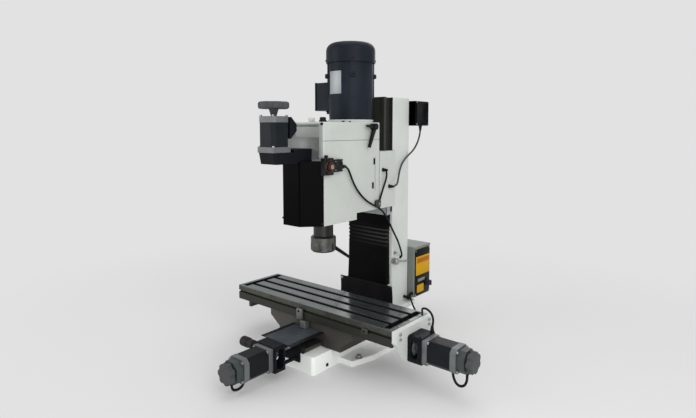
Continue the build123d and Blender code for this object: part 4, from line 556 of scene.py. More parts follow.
def left_end(x, y, z):
    """The plate at the left end of the table, given the dark colours of the bare ways instead of paint."""
    return 1 - x.rise(-0.30, -0.20)


def x_encoder(x, y, z):
    """The encoder box behind the table motor's rear casting."""
    return x.past(X_MOTOR.left + REAR_CASTING, 0.0002)


def y_encoder(x, y, z):
    """The encoder box behind the saddle motor's rear casting."""
    return 1 - y.past(Y_MOTOR.back - REAR_CASTING, 0.0002)


def recipes(tint):
    """Each finish's maker and what it is made with."""
    return {
        # Painted light brightens the base's white and painted shade darkens the head's.
        "base": (casting_paint, "base_paint", tint.base, base_bare, 0.10, (0.04, 2.0, 0.04)),
        "column": (casting_paint, "column_paint", tint.column, column_bare, 0.0, (0.04, 0.04, 2.0)),
        "head": (casting_paint, "head_paint", tint.head),
        "end_plate": (casting_paint, "end_plate_paint", tint.column, left_end),
        "table": (table_iron, "table_ground_iron", tint.table),
        "saddle": (oiled_iron, "saddle_oiled_iron", tint.saddle),
        "steel": (turned_steel, "turned_steel", tint.steel),
        "thread_x": (turned_steel, "ball_thread_long", tint.steel, "X", 0.005, 0.8),
        "thread_y": (turned_steel, "ball_thread_cross", tint.steel, "Y", 0.005, 0.8),
        "thread_z": (turned_steel, "ball_thread_upright", tint.steel, "Z", 0.005, 0.8),
        "gib": (turned_steel, "ground_strip", shade(tint.steel, 0.5), "Y"),
        "quill": (turned_steel, "quill_steel", tint.nose),
        "nut": (turned_steel, "collet_nut_steel", shade(tint.nose, 2.6), "Z", 0.0012, 0.2),
        "stop": (cast_alloy, "stop_metal", (0.150, 0.152, 0.145), 0.4),
        "cover": (gloss_sheet, "front_cover_gloss", tint.cover),
        "plate": (satin_enamel, "drive_plate_black", tint.plate),
        "box_black": (satin_enamel, "junction_black", shade(tint.plate, 0.4), 0.40, 1.5, 0.06),
        "motor": (satin_enamel, "spindle_motor_navy", tint.motor),
        # Painted shade: the table and saddle motors' lacquer darker than the quill motor's.
        "stator_x": (laminations, "stator_lacquer_x", shade(tint.stator, 0.65), "X"),
        "stator_y": (laminations, "stator_lacquer_y", shade(tint.stator, 0.65), "Y"),
        "stator_z": (laminations, "stator_lacquer_z", tint.stator, "Z"),
        "alloy": (cast_alloy, "motor_end_alloy", tint.alloy, 0.35),
        "ends_x": (cast_alloy, "motor_end_alloy_x", tint.alloy, 0.35, x_encoder),
        "ends_y": (cast_alloy, "motor_end_alloy_y", tint.alloy, 0.35, y_encoder),
        "collar": (cast_alloy, "bellows_collar_alloy", (0.34, 0.35, 0.36), 0.3),
        "clamp": (cast_alloy, "clamp_grey", (0.030, 0.032, 0.030), 0.3),
        "knob": (moulded_plastic, "knob_charcoal", tint.knob, 0.5),
        "black_plastic": (moulded_plastic, "fitting_black", (0.007, 0.007, 0.008), 0.4, 0.15),
        "plum_plastic": (moulded_plastic, "dial_plum", (0.030, 0.020, 0.045), 0.4),
        "connector": (moulded_plastic, "connector_brown", (0.018, 0.016, 0.016), 0.45, 0.15),
        "bellows": (pleated_rubber, "bellows_black", shade(tint.rubber, 0.4)),
        "rubber": (moulded_rubber, "skirt_black", tint.rubber),
        "apron": (bound_rubber, "apron_blue_grey", tint.apron, 0.064),
        "sheath": (moulded_rubber, "cable_sheath", shade(tint.rubber, 1.5), 600.0),
        "sheath_grey": (moulded_rubber, "cable_sheath_grey", (0.042, 0.044, 0.043), 600.0, 0.2),
        "cabinet": (satin_enamel, "cabinet_grey", tint.cabinet, 0.45, 1.10, 0.4),
        "cabinet_dark": (satin_enamel, "cabinet_dark", (0.0065, 0.0070, 0.0055), 0.42),
        "yellow": (satin_enamel, "panel_yellow", tint.yellow, 0.42, 1.08, 0.06, 0.004),
        "orange": (satin_enamel, "panel_orange", (0.42, 0.13, 0.010), 0.42, 1.1, 0.1),
        "amber": (moulded_plastic, "switch_amber", tint.amber, 0.3),
        # Painted highlight: the beige centre of the push button.
        "button": (push_button_highlight, "switch_cap", tint.button, tint.amber, SWITCH_BUTTON.middle, 0.0088),
        # The panel's grey is in part painted shade on the head's front face.
        "panel": (brushed_plate, "head_front_panel", tint.panel, "X", 0.1),
        "panel_light": (brushed_plate, "head_front_inlay", shade(tint.panel, 1.15), "X", 0.1),
        # Painted highlight: the paler strip down the panel's right edge.
        "panel_edge_highlight": (brushed_plate, "head_front_edge", shade(tint.panel, 1.55), "X", 0.1),
        "gasket": (moulded_rubber, "seam_gasket", (0.10, 0.105, 0.10), 300.0, 0.2),
        "filler": (moulded_plastic, "filler_cap_pale", (0.55, 0.56, 0.54), 0.45),
        "nameplate": (brushed_plate, "blank_nameplate", (0.335, 0.355, 0.365), "Z", 0.4),
        "zinc": (cast_alloy, "plated_screw", (0.40, 0.40, 0.39)),
        "black_screw": (satin_enamel, "blackened_screw", (0.012, 0.012, 0.013), 0.4),
    }


_finishes = {}


def finish(key):
    """The named finish, made on first use from the paint settings."""
    if key not in _finishes:
        maker, *values = recipes(bpy.context.scene.mill_paint)[key]
        _finishes[key] = maker(*values)
    return _finishes[key]


def dress(key, *nodes):
    """Gives carried-over CAD nodes a finish."""
    for node in nodes:
        for place in frame["nodes"][node].material_slots:
            place.material = finish(key)


# Modelling by hand


def fresh():
    if bpy.context.mode != "OBJECT":
        bpy.ops.object.mode_set(mode="OBJECT")
    bpy.ops.object.select_all(action="DESELECT")


def take(obj):
    fresh()
    obj.select_set(True)
    bpy.context.view_layer.objects.active = obj


def name_piece(obj, name):
    obj.name = name
    obj.data.name = name
    return obj


def settle(name):
    """Applies the new primitive's place, so its object sits at the origin."""
    bpy.ops.object.transform_apply(location=True, rotation=True, scale=True)
    return name_piece(bpy.context.object, name)


def start_block(name, low, high):
    low, high = Vector(low), Vector(high)
    fresh()
    bpy.ops.mesh.primitive_cube_add(size=1, location=(low + high) / 2)
    bpy.context.object.scale = high - low
    return settle(name)


def start_round(name, foot, radius, height, sides):
    fresh()
    bpy.ops.mesh.primitive_cylinder_add(
        vertices=sides, radius=radius, depth=height, location=Vector(foot) + UP * height / 2)
    return settle(name)


def start_grid(name, columns, rows, width, length, centre, tilt=0.0):
    """A flat sheet of faces, turned up about X by tilt."""
    fresh()
    bpy.ops.mesh.primitive_grid_add(
        x_subdivisions=columns, y_subdivisions=rows, size=1, location=centre, rotation=(tilt, 0, 0))
    bpy.context.object.scale = (width, length, 1)
    return settle(name)


def edit(obj, kind, action="DESELECT"):
    """Enters edit mode, with nothing or everything selected."""
    take(obj)
    bpy.ops.object.mode_set(mode="EDIT")
    bpy.ops.mesh.select_mode(type=kind)
    bpy.ops.mesh.select_all(action=action)


def leave():
    bpy.ops.object.mode_set(mode="OBJECT")


def choose(obj, kind, test):
    """Enters edit mode with the points, edges or faces selected that pass the test."""
    edit(obj, kind)
    leave()
    parts = {"VERT": obj.data.vertices, "EDGE": obj.data.edges, "FACE": obj.data.polygons}
    for part in parts[kind]:
        part.select = test(part)
    bpy.ops.object.mode_set(mode="EDIT")


def ends(obj, edge):
    """Where the two ends of an edge are."""
    return [obj.data.vertices[index].co for index in edge.vertices]


def cut_away(obj, test):
    """Deletes the faces that pass the test."""
    choose(obj, "FACE", test)
    bpy.ops.mesh.delete(type="FACE")
    leave()


def sink(obj, direction, margin, depth):
    """Insets the face that looks along direction and moves its inside by depth (negative sinks it)."""
    choose(obj, "FACE", lambda face: face.normal.dot(direction) > 0.95)
    bpy.ops.mesh.inset(thickness=margin)
    bpy.ops.mesh.extrude_region_move(TRANSFORM_OT_translate={"value": direction * depth})
    leave()
    return obj


def chamfer(obj, test, offset):
    """Bevels the edges whose two ends pass the test."""
    choose(obj, "EDGE", lambda edge: all(test(point) for point in ends(obj, edge)))
    bpy.ops.mesh.bevel(offset=offset, segments=1, affect="EDGES")
    leave()


def smooth(obj, degrees):
    take(obj)
    bpy.ops.object.shade_smooth_by_angle(angle=math.radians(degrees))
    return obj


def turned(name, profile, sides):
    """A turned piece on the origin's axis; profile lists its (radius, height) steps from the foot up."""
    fresh()
    radius, height = profile[0]
    bpy.ops.mesh.primitive_circle_add(
        vertices=sides, radius=radius, fill_type="NGON", location=(0, 0, height))
    obj = settle(name)
    edit(obj, "FACE", "SELECT")
    for (wide, low), (next_wide, high) in zip(profile, profile[1:]):
        bpy.ops.mesh.extrude_region_move(TRANSFORM_OT_translate={"value": (0, 0, high - low)})
        bpy.ops.transform.resize(value=(next_wide / wide, next_wide / wide, 1), center_override=(0, 0, high))
    bpy.ops.mesh.select_all(action="SELECT")
    bpy.ops.mesh.normals_make_consistent(inside=False)
    leave()
    return smooth(obj, 34)


def add_modifier(obj, kind, **settings):
    modifier = obj.modifiers.new(kind.title(), kind)
    for key, value in settings.items():
        setattr(modifier, key, value)
    take(obj)
    bpy.ops.object.modifier_apply(modifier=modifier.name)


def soften(obj, width, segments=2):
    add_modifier(
        obj, "BEVEL", width=width, segments=segments, limit_method="ANGLE",
        angle_limit=math.radians(35), use_clamp_overlap=True)
    return smooth(obj, 38)


def join(name, pieces):
    take(pieces[0])
    for piece in pieces[1:]:
        piece.select_set(True)
    if len(pieces) > 1:
        bpy.ops.object.join()
    return name_piece(pieces[0], name)


def stand(point, normal):
    """The matrix that stands a template, made on the floor at the origin, on a surface."""
    turn = Vector(normal).to_track_quat("Z", "Y").to_matrix().to_4x4()
    return Matrix.Translation(Vector(point)) @ turn


def spots(normal, *places):
    """Points on one surface, each with its normal: every pairing of places along X, Y and Z."""
    along = [place if isinstance(place, tuple) else (place,) for place in places]
    return [(point, normal) for point in itertools.product(*along)]


def inside(low, high, margin):
    """Two places, a margin in from each end of a span."""
    return low + margin, high - margin


def around(centre, radius, heights, degrees):
    """Points at some heights round an upright axis, each with the direction outwards."""
    found = []
    for turn in degrees:
        out = Vector((math.cos(math.radians(turn)), math.sin(math.radians(turn)), 0))
        found += [(centre + out * radius + UP * height, out) for height in heights]
    return found


def paint_with(obj, key):
    obj.data.materials.clear()
    obj.data.materials.append(finish(key))


def fit(obj, key, body):
    """Paints a finished piece and lets it ride on a body."""
    paint_with(obj, key)
    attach(obj, body)
    return obj


def stretch(obj, key, first, second, start, end):
    """Paints a soft piece and bakes its place into its mesh."""
    paint_with(obj, key)
    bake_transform(obj)


def plate(name, low, high, key, body, slot=None, edge=0.001, segments=2):
    """A block with softened edges, painted and riding on a body."""
    return fit(soften(start_block(name, low, high), edge, segments), key, body)


def put(name, template, places, key, body):
    """Stands a copy of a finished template at each place, and fits the copies as one piece."""
    copies = []
    for point, normal in places:
        twin = template.copy()
        twin.data = template.data.copy()
        twin.data.transform(stand(point, normal))
        bpy.context.collection.objects.link(twin)
        copies.append(twin)
    bpy.data.objects.remove(template)
    return fit(join(name, copies), key, body)


def cap_screw(radius, height):
    """A socket-head screw standing at the origin."""
    return turned("screw", [
        (radius, 0), (radius, height * 0.86), (radius * 0.88, height), (radius * 0.56, height),
        (radius * 0.52, height * 0.35)], 20)


def pan_screw(radius, height):
    """A low round-head screw standing at the origin."""
    return turned("screw", [
        (radius, 0), (radius, height * 0.35), (radius * 0.84, height * 0.75), (radius * 0.5, height),
        (radius * 0.34, height), (radius * 0.30, height * 0.45)], 18)


def hex_bolt(across, height, washer):
    """A hexagon bolt head on a round washer, standing at the origin."""
    disc = turned("washer", [(washer, 0), (washer, height * 0.17), (washer * 0.96, height * 0.22)], 28)
    head = start_round("head", (0, 0, height * 0.22), across, height, 6)
    return join("bolt", [disc, soften(head, across * 0.10)])


# Cables


def metres(point):
    return tuple(value / 1000 for value in point)


def cable_end(name, place, normal):
    """Where a cable's route begins (place 0) or ends (place -1), with the way that a fitting there faces."""
    return metres(ROUTES[name][place]), normal


def draw_route(name, points):
    """A smooth line along the cable's listed points."""
    curve = bpy.data.curves.new(name, "CURVE")
    curve.dimensions = "3D"
    curve.resolution_u = 10
    spline = curve.splines.new("NURBS")
    spline.points.add(len(points) - 1)
    for place, point in zip(spline.points, points):
        place.co = (*point, 1.0)
    spline.order_u = 3
    spline.use_endpoint_u = True
    line = bpy.data.objects.new(name, curve)
    bpy.context.collection.objects.link(line)
    return line


def line_points(line):
    bpy.context.view_layer.update()
    mesh = bpy.data.meshes.new_from_object(line)
    points = [vertex.co.copy() for vertex in mesh.vertices]
    bpy.data.meshes.remove(mesh)
    return points


def make_cable(name, node, diameter, body=None, across=None, key="sheath"):
    """A cable that stands for its CAD node: riding on one body, or across a joint painted and left in place.
    """
    points = [metres(point) for point in ROUTES[name]]
    line = draw_route(name, points)
    path = line_points(line)
    line.data.bevel_depth = diameter / 2
    line.data.bevel_resolution = 5
    line.data.use_fill_caps = True
    take(line)
    bpy.ops.object.convert(target="MESH")
    tube = smooth(name_piece(bpy.context.object, name), 60)
    if across:
        stretch(tube, key, *across)
    else:
        fit(tube, key, body)
    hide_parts(node)


def gland(diameter):
    """A cable gland at the origin: a flange, a nut and a tapered boot round the cable."""
    return turned("gland", [
        (diameter * 1.05, 0), (diameter * 1.05, 0.003), (diameter * 0.86, 0.0036), (diameter * 0.86, 0.010),
        (diameter * 0.76, 0.0125), (diameter * 0.70, 0.0175), (diameter * 0.56, 0.0235)], 24)


# Operators


class MILL_OT_stage(bpy.types.Operator):
    """Set up the floor, the studio lights and the camera"""

    bl_idname = "mill.stage"
    bl_label = "Stage"

    def execute(self, context):
        stage = context.scene.mill_stage
        self.lay_floor(stage)
        self.set_surroundings(context, stage)
        self.hang_lights(context)
        fresh()
        bpy.ops.object.camera_add(location=stage.eye)
        camera = context.object
        camera.name = "camera"
        camera.rotation_euler = (math.radians(90) - stage.tilt, 0, stage.heading)
        camera.data.sensor_width = 36
        camera.data.lens = stage.lens
        camera.data.shift_y = stage.shift
        context.scene.camera = camera
        context.scene.view_settings.view_transform = "Standard"
        return {"FINISHED"}

    def lay_floor(self, stage):
        """A floor that fades into the backdrop away from the machine."""
        fresh()
        bpy.ops.mesh.primitive_plane_add(size=60, location=(0, 0, 0))
        floor = settle("floor")
        ground = Paint("pale_floor", roughness=0.9, specular=0.0)
        reach = ground.node(
            "ShaderNodeVectorMath", {"operation": "LENGTH"}, {0: ground.coordinates}, output="Value")
        far = reach.rise(0.5, 2.4)
        ground.set("Base Color", ground.mix(far, stage.floor, (0.0, 0.0, 0.0)))
        ground.set("Emission Color", ground.mix(far, (0.10, 0.10, 0.10), stage.backdrop))
        ground.set("Emission Strength", 1.0)
        floor.data.materials.append(ground.material)

    def set_surroundings(self, context, stage):
        """Even light from all round, behind which the camera sees the backdrop's grey."""
        world = bpy.data.worlds.new("studio")
        context.scene.world = world
        world.use_nodes = True
        tree = world.node_tree
        around = tree.nodes["Background"]
        around.inputs["Color"].default_value = (1.0, 1.0, 1.0, 1.0)
        around.inputs["Strength"].default_value = stage.glow
        behind = tree.nodes.new("ShaderNodeBackground")
        behind.inputs["Color"].default_value = (*stage.backdrop, 1.0)
        path = tree.nodes.new("ShaderNodeLightPath")
        either = tree.nodes.new("ShaderNodeMixShader")
        tree.links.new(path.outputs["Is Camera Ray"], either.inputs[0])
        tree.links.new(around.outputs[0], either.inputs[1])
        tree.links.new(behind.outputs[0], either.inputs[2])
        tree.links.new(either.outputs[0], tree.nodes["World Output"].inputs["Surface"])

    def hang_lights(self, context):
        lights = (
            ("key", (2.8, -1.2, 2.4), (0.1, 0.0, 0.5), 2.2, 38),
            ("low", (2.2, -2.0, 0.5), (0.1, -0.1, 0.1), 1.6, 20),
            ("fill", (-2.2, -3.0, 1.6), (0.0, 0.0, 0.5), 2.4, 38),
            ("top", (0.2, 0.2, 3.4), (0.0, 0.0, 0.4), 2.6, 26),
            ("back", (-1.2, 3.0, 2.4), (0.0, 0.2, 0.6), 2.4, 24),
        )
        for name, place, target, size, power in lights:
            fresh()
            bpy.ops.object.light_add(type="AREA", location=place)
            light = context.object
            light.name = name
            light.data.size = size
            light.data.energy = power
            light.visible_camera = False
            aim = Vector(target) - Vector(place)
            light.rotation_euler = aim.to_track_quat("-Z", "Y").to_euler()


class MILL_OT_cables(bpy.types.Operator):
    """Lay the control cables and the motor leads, and fit a gland or a sleeve where each one ends"""

    bl_idname = "mill.cables"
    bl_label = "Cables"

    def execute(self, context):
        sizes = context.scene.mill_fittings
        self.lay_cables(sizes.cable)
        make_cable("table_motor_lead", "x_lead_loop", sizes.lead, body="table")
        make_cable("saddle_motor_lead", "y_lead_loop", sizes.lead, body="frame")
        self.fit_glands(sizes.cable)
        self.fit_sleeves()
        return {"FINISHED"}

    def lay_cables(self, cable):
        make_cable("switch_cable", "head_switch_cable", cable, body="head")
        make_cable("loop_cable", "head_loop_cable", cable, body="head")
        make_cable("drop_cable", "head_drop_cable", cable,
                   across=("head", "frame", (0.113, 0.072, 0.593), (0.097, 0.293, 0.335)))
        make_cable("box_cable", "junction_cable", cable, key="sheath_grey",
                   across=("frame", "head", (0.094, 0.316, 0.781), (0.130, 0.206, 0.684)))
        make_cable("table_motor_cable_rear", "x_motor_cable_rear", cable,
                   across=("frame", "saddle", (0.110, 0.343, 0.146), (0.378, 0.020, 0.214)))
        make_cable("table_motor_cable_front", "x_motor_cable_front", cable,
                   across=("saddle", "table", (0.378, 0.0195, 0.2144), (0.480, -0.070, 0.236)))

    def fit_glands(self, cable):
        places = {
            "head": [
                cable_end("switch_cable", 0, BACK), cable_end("loop_cable", 0, RIGHT),
                cable_end("box_cable", -1, RIGHT)],
            "frame": [cable_end("box_cable", 0, DOWN), cable_end("table_motor_cable_rear", 0, FRONT)],
            "table": [cable_end("table_motor_cable_front", -1, UP)],
        }
        for body, exits in places.items():
            put(body + "_glands", gland(cable), exits, "black_plastic", body)
        grommet = turned("grommet", [(0.0072, 0), (0.0072, 0.0012), (0.0060, 0.0030), (0.0044, 0.0034)], 24)
        put("column_grommet", grommet, spots(RIGHT, COLUMN_SIDE, 0.298, 0.328), "black_plastic", "frame")

    def fit_sleeves(self):
        collar = [(0.0085, -0.002), (0.0085, 0.004), (0.0066, 0.0075), (0.0052, 0.0085)]
        for body, lead in (("table", "table_motor_lead"), ("frame", "saddle_motor_lead")):
            exits = [cable_end(lead, place, DOWN) for place in (0, -1)]
            put(body + "_lead_sleeves", turned("sleeve", collar, 24), exits, "black_plastic", body)


class MILL_OT_castings(bpy.types.Operator):
    """Paint the castings and give bare metal to the table, saddle, screws and spindle"""

    bl_idname = "mill.castings"
    bl_label = "Castings and metal"

    def execute(self, context):
        dress("base", "base_casting")
        dress("column", "column_casting")
        dress("head", "head_casting", "head_top_cover", "head_slide")
        dress("end_plate", "table_end_plates")
        dress("table", "work_table")
        dress("saddle", "saddle_casting")
        dress("gib", "gib_strips")
        dress("stop", "table_stop_block")
        dress("thread_x", "x_ball_screw")
        dress("thread_y", "y_ball_screw")
        dress("thread_z", "z_ball_screw", "elevation_screw")
        dress("steel", "counter_gear", "spindle_gear", "motor_rotor", "gear_bearing_plate", "ball_nuts")
        dress("quill", "quill", "spindle")
        dress("nut", "collet_nut")
        return {"FINISHED"}


class MILL_OT_drives(bpy.types.Operator):
    """Finish the covers, the drive brackets, the motors, the control box and the controls"""

    bl_idname = "mill.drives"
    bl_label = "Motors, brackets and controls"

    def execute(self, context):
        dress("cover", "front_cover")
        dress("plate", "z_drive_bracket", "x_drive_housing", "y_drive_bracket")
        dress("box_black", "junction_box")
        dress("motor", "motor_end_bell", "motor_stator_body", "motor_fan_cowl", "terminal_box")
        for axis in "xyz":
            dress("stator_" + axis, axis + "_motor_stator")
            dress("knob", axis + "_handwheel")
        dress("ends_x", "x_motor_end_caps")
        dress("ends_y", "y_motor_end_caps")
        dress("alloy", "z_motor_end_caps", "x_coupling", "y_coupling")
        dress("black_plastic", "gear_lever", "elevation_crank", "switch_box")
        dress("connector", "y_round_connector")
        dress("plum_plastic", "control_knob")
        dress("button", "switch_button")
        dress("cabinet", "control_box")
        return {"FINISHED"}


def ramp(value, low, high):
    """0 below low, 1 above high, and straight between."""
    return min(1.0, max(0.0, (value - low) / (high - low)))


def folded(height):
    """How deep the bellows' folds are at a height: 1 a little below the collar, 0 where it is stretched."""
    return ramp(height, *FOLDS_DEEPEN) * (1 - ramp(height, *FOLDS_FADE))


class MILL_OT_bellows(bpy.types.Operator):
    """Fold the column bellows, hang the skirt and lay the front apron"""

    bl_idname = "mill.bellows"
    bl_label = "Bellows, skirt and apron"

    def execute(self, context):
        sizes = context.scene.mill_fittings
        low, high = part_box("column_bellows")
        top = high.z - sizes.collar
        self.fold_bellows(sizes, low, high, top)
        self.fit_collar(low, high, top)
        self.hang_skirt()
        self.lay_apron()
        return {"FINISHED"}

    def fold_bellows(self, sizes, low, high, top):
        width, depth = high.x - low.x, high.y - low.y
        bellows = self.outline(low, high)
        steps = STEPS_PER_PLEAT * round((top - low.z) / sizes.pleat)
        rise = (top - low.z) / steps
        last = 0.0
        for step in range(1, steps + 1):
            height = low.z + step * rise
            waist = 0.0035 * math.sin(math.pi * step / steps)
            swell = 0.5 - 0.5 * math.cos(2 * math.pi * step / STEPS_PER_PLEAT)
            tuck = sizes.pleat_depth * (0.03 + 0.97 * folded(height)) * swell + waist
            bpy.ops.mesh.extrude_edges_move(TRANSFORM_OT_translate={"value": (0, 0, rise)})
            bpy.ops.transform.resize(
                value=((width / 2 - tuck) / (width / 2 - last), (depth - tuck) / (depth - last), 1),
                center_override=(0, high.y, height))
            last = tuck
        bpy.ops.mesh.select_all(action="SELECT")
        bpy.ops.mesh.normals_make_consistent(inside=False)
        leave()
        self.face_forward(bellows)
        self.paint_fold_highlights(bellows, low.z, STEPS_PER_PLEAT * rise)
        add_modifier(bellows, "SOLIDIFY", thickness=0.0016, offset=-1)
        smooth(bellows, 60)
        stretch(bellows, "bellows", "frame", "head", (0, 0.17, low.z + 0.004), (0, 0.17, top - 0.004))
        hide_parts("column_bellows")

    def outline(self, low, high):
        """The foot of the bellows as a line round three sides of the column, left selected in edit mode."""
        fresh()
        bpy.ops.mesh.primitive_plane_add(size=1, location=(0, (low.y + high.y) / 2, low.z))
        bpy.context.object.scale = (high.x - low.x, high.y - low.y, 1)
        line = settle("pleated_bellows")
        edit(line, "FACE", "SELECT")
        bpy.ops.mesh.delete(type="ONLY_FACE")
        choose(line, "EDGE", lambda edge: all(point.y > high.y - 1e-4 for point in ends(line, edge)))
        bpy.ops.mesh.delete(type="EDGE")
        choose(line, "VERT", lambda vertex: vertex.co.y < low.y + 1e-4)
        bpy.ops.mesh.bevel(offset=0.014, segments=5, affect="VERTICES")
        bpy.ops.mesh.select_mode(type="EDGE")
        bpy.ops.mesh.select_all(action="SELECT")
        return line

    def face_forward(self, obj):
        """Turns an open sheet round if its front looks backwards."""
        lead = min(obj.data.polygons, key=lambda face: face.center.y)
        if lead.normal.y > 0:
            edit(obj, "FACE", "SELECT")
            bpy.ops.mesh.flip_normals()
            leave()

    def paint_fold_highlights(self, obj, foot, pitch):
        """Stores a painted highlight for each point: the crests of the folds, most to the right."""
        fold_highlight = obj.data.attributes.new("fold_highlight", "FLOAT", "POINT")
        for place, vertex in zip(fold_highlight.data, obj.data.vertices):
            crest = 0.5 + 0.5 * math.cos(2 * math.pi * (vertex.co.z - foot) / pitch)
            place.value = crest * crest * folded(vertex.co.z) * ramp(vertex.co.x, -0.03, 0.05)

    def fit_collar(self, low, high, top):
        cheek = 0.0035
        foot, head = top - 0.002, high.z - 0.0004
        pieces = [start_block("front", (low.x, low.y, foot), (high.x, low.y + cheek, head))]
        for x in (low.x, high.x - cheek):
            pieces.append(start_block("side", (x, low.y, foot), (x + cheek, high.y, head)))
        fit(join("bellows_collar", [soften(piece, 0.0012) for piece in pieces]), "collar", "head")

    def hang_skirt(self):
        low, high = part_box("rear_skirt")
        height = high.z - low.z
        skirt = start_grid("rubber_skirt", 36, 12, high.x - low.x, height,
                           (0, low.y + 0.002, (low.z + high.z) / 2), math.radians(90))
        for vertex in skirt.data.vertices:
            drop = (high.z - vertex.co.z) / height
            side = vertex.co.x / high.x
            vertex.co.y += -0.010 * drop * drop + 0.0022 * drop * math.sin(side * 9.0)
            vertex.co.x *= 0.955 + 0.075 * drop if vertex.co.x > 0 else 0.985 - 0.075 * drop
            vertex.co.z += 0.0015 * math.sin(side * 7.0) * drop
        add_modifier(skirt, "SOLIDIFY", thickness=0.0036, offset=0)
        shelf = start_block("shelf", (-0.112, low.y + 0.003, high.z - 0.004), (0.112, high.y, high.z))
        skirt = join("rubber_skirt", [soften(piece, 0.0008) for piece in (skirt, shelf)])
        fit(skirt, "rubber", "frame")
        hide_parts("rear_skirt")
        put("skirt_bolts", hex_bolt(0.0052, 0.004, 0.0085),
            spots(FRONT, -0.138, low.y + 0.0005, high.z - 0.012), "zinc", "frame")

    def lay_apron(self):
        low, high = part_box("front_way_apron")
        length = high.y - APRON_FRONT
        apron = start_grid("front_apron", 14, 64, high.x - low.x, length,
                           (0, (APRON_FRONT + high.y) / 2, low.z + 0.0022))
        for vertex in apron.data.vertices:
            along = (vertex.co.y - APRON_FRONT) / length
            vertex.co.z += 0.0004 * math.sin(along * 2 * math.pi * 8)
        add_modifier(apron, "SOLIDIFY", thickness=0.0028, offset=0)
        soften(apron, 0.0006)
        stretch(apron, "apron", "frame", "saddle", (0, APRON_FRONT, low.z), (0, high.y, low.z))
        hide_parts("front_way_apron")


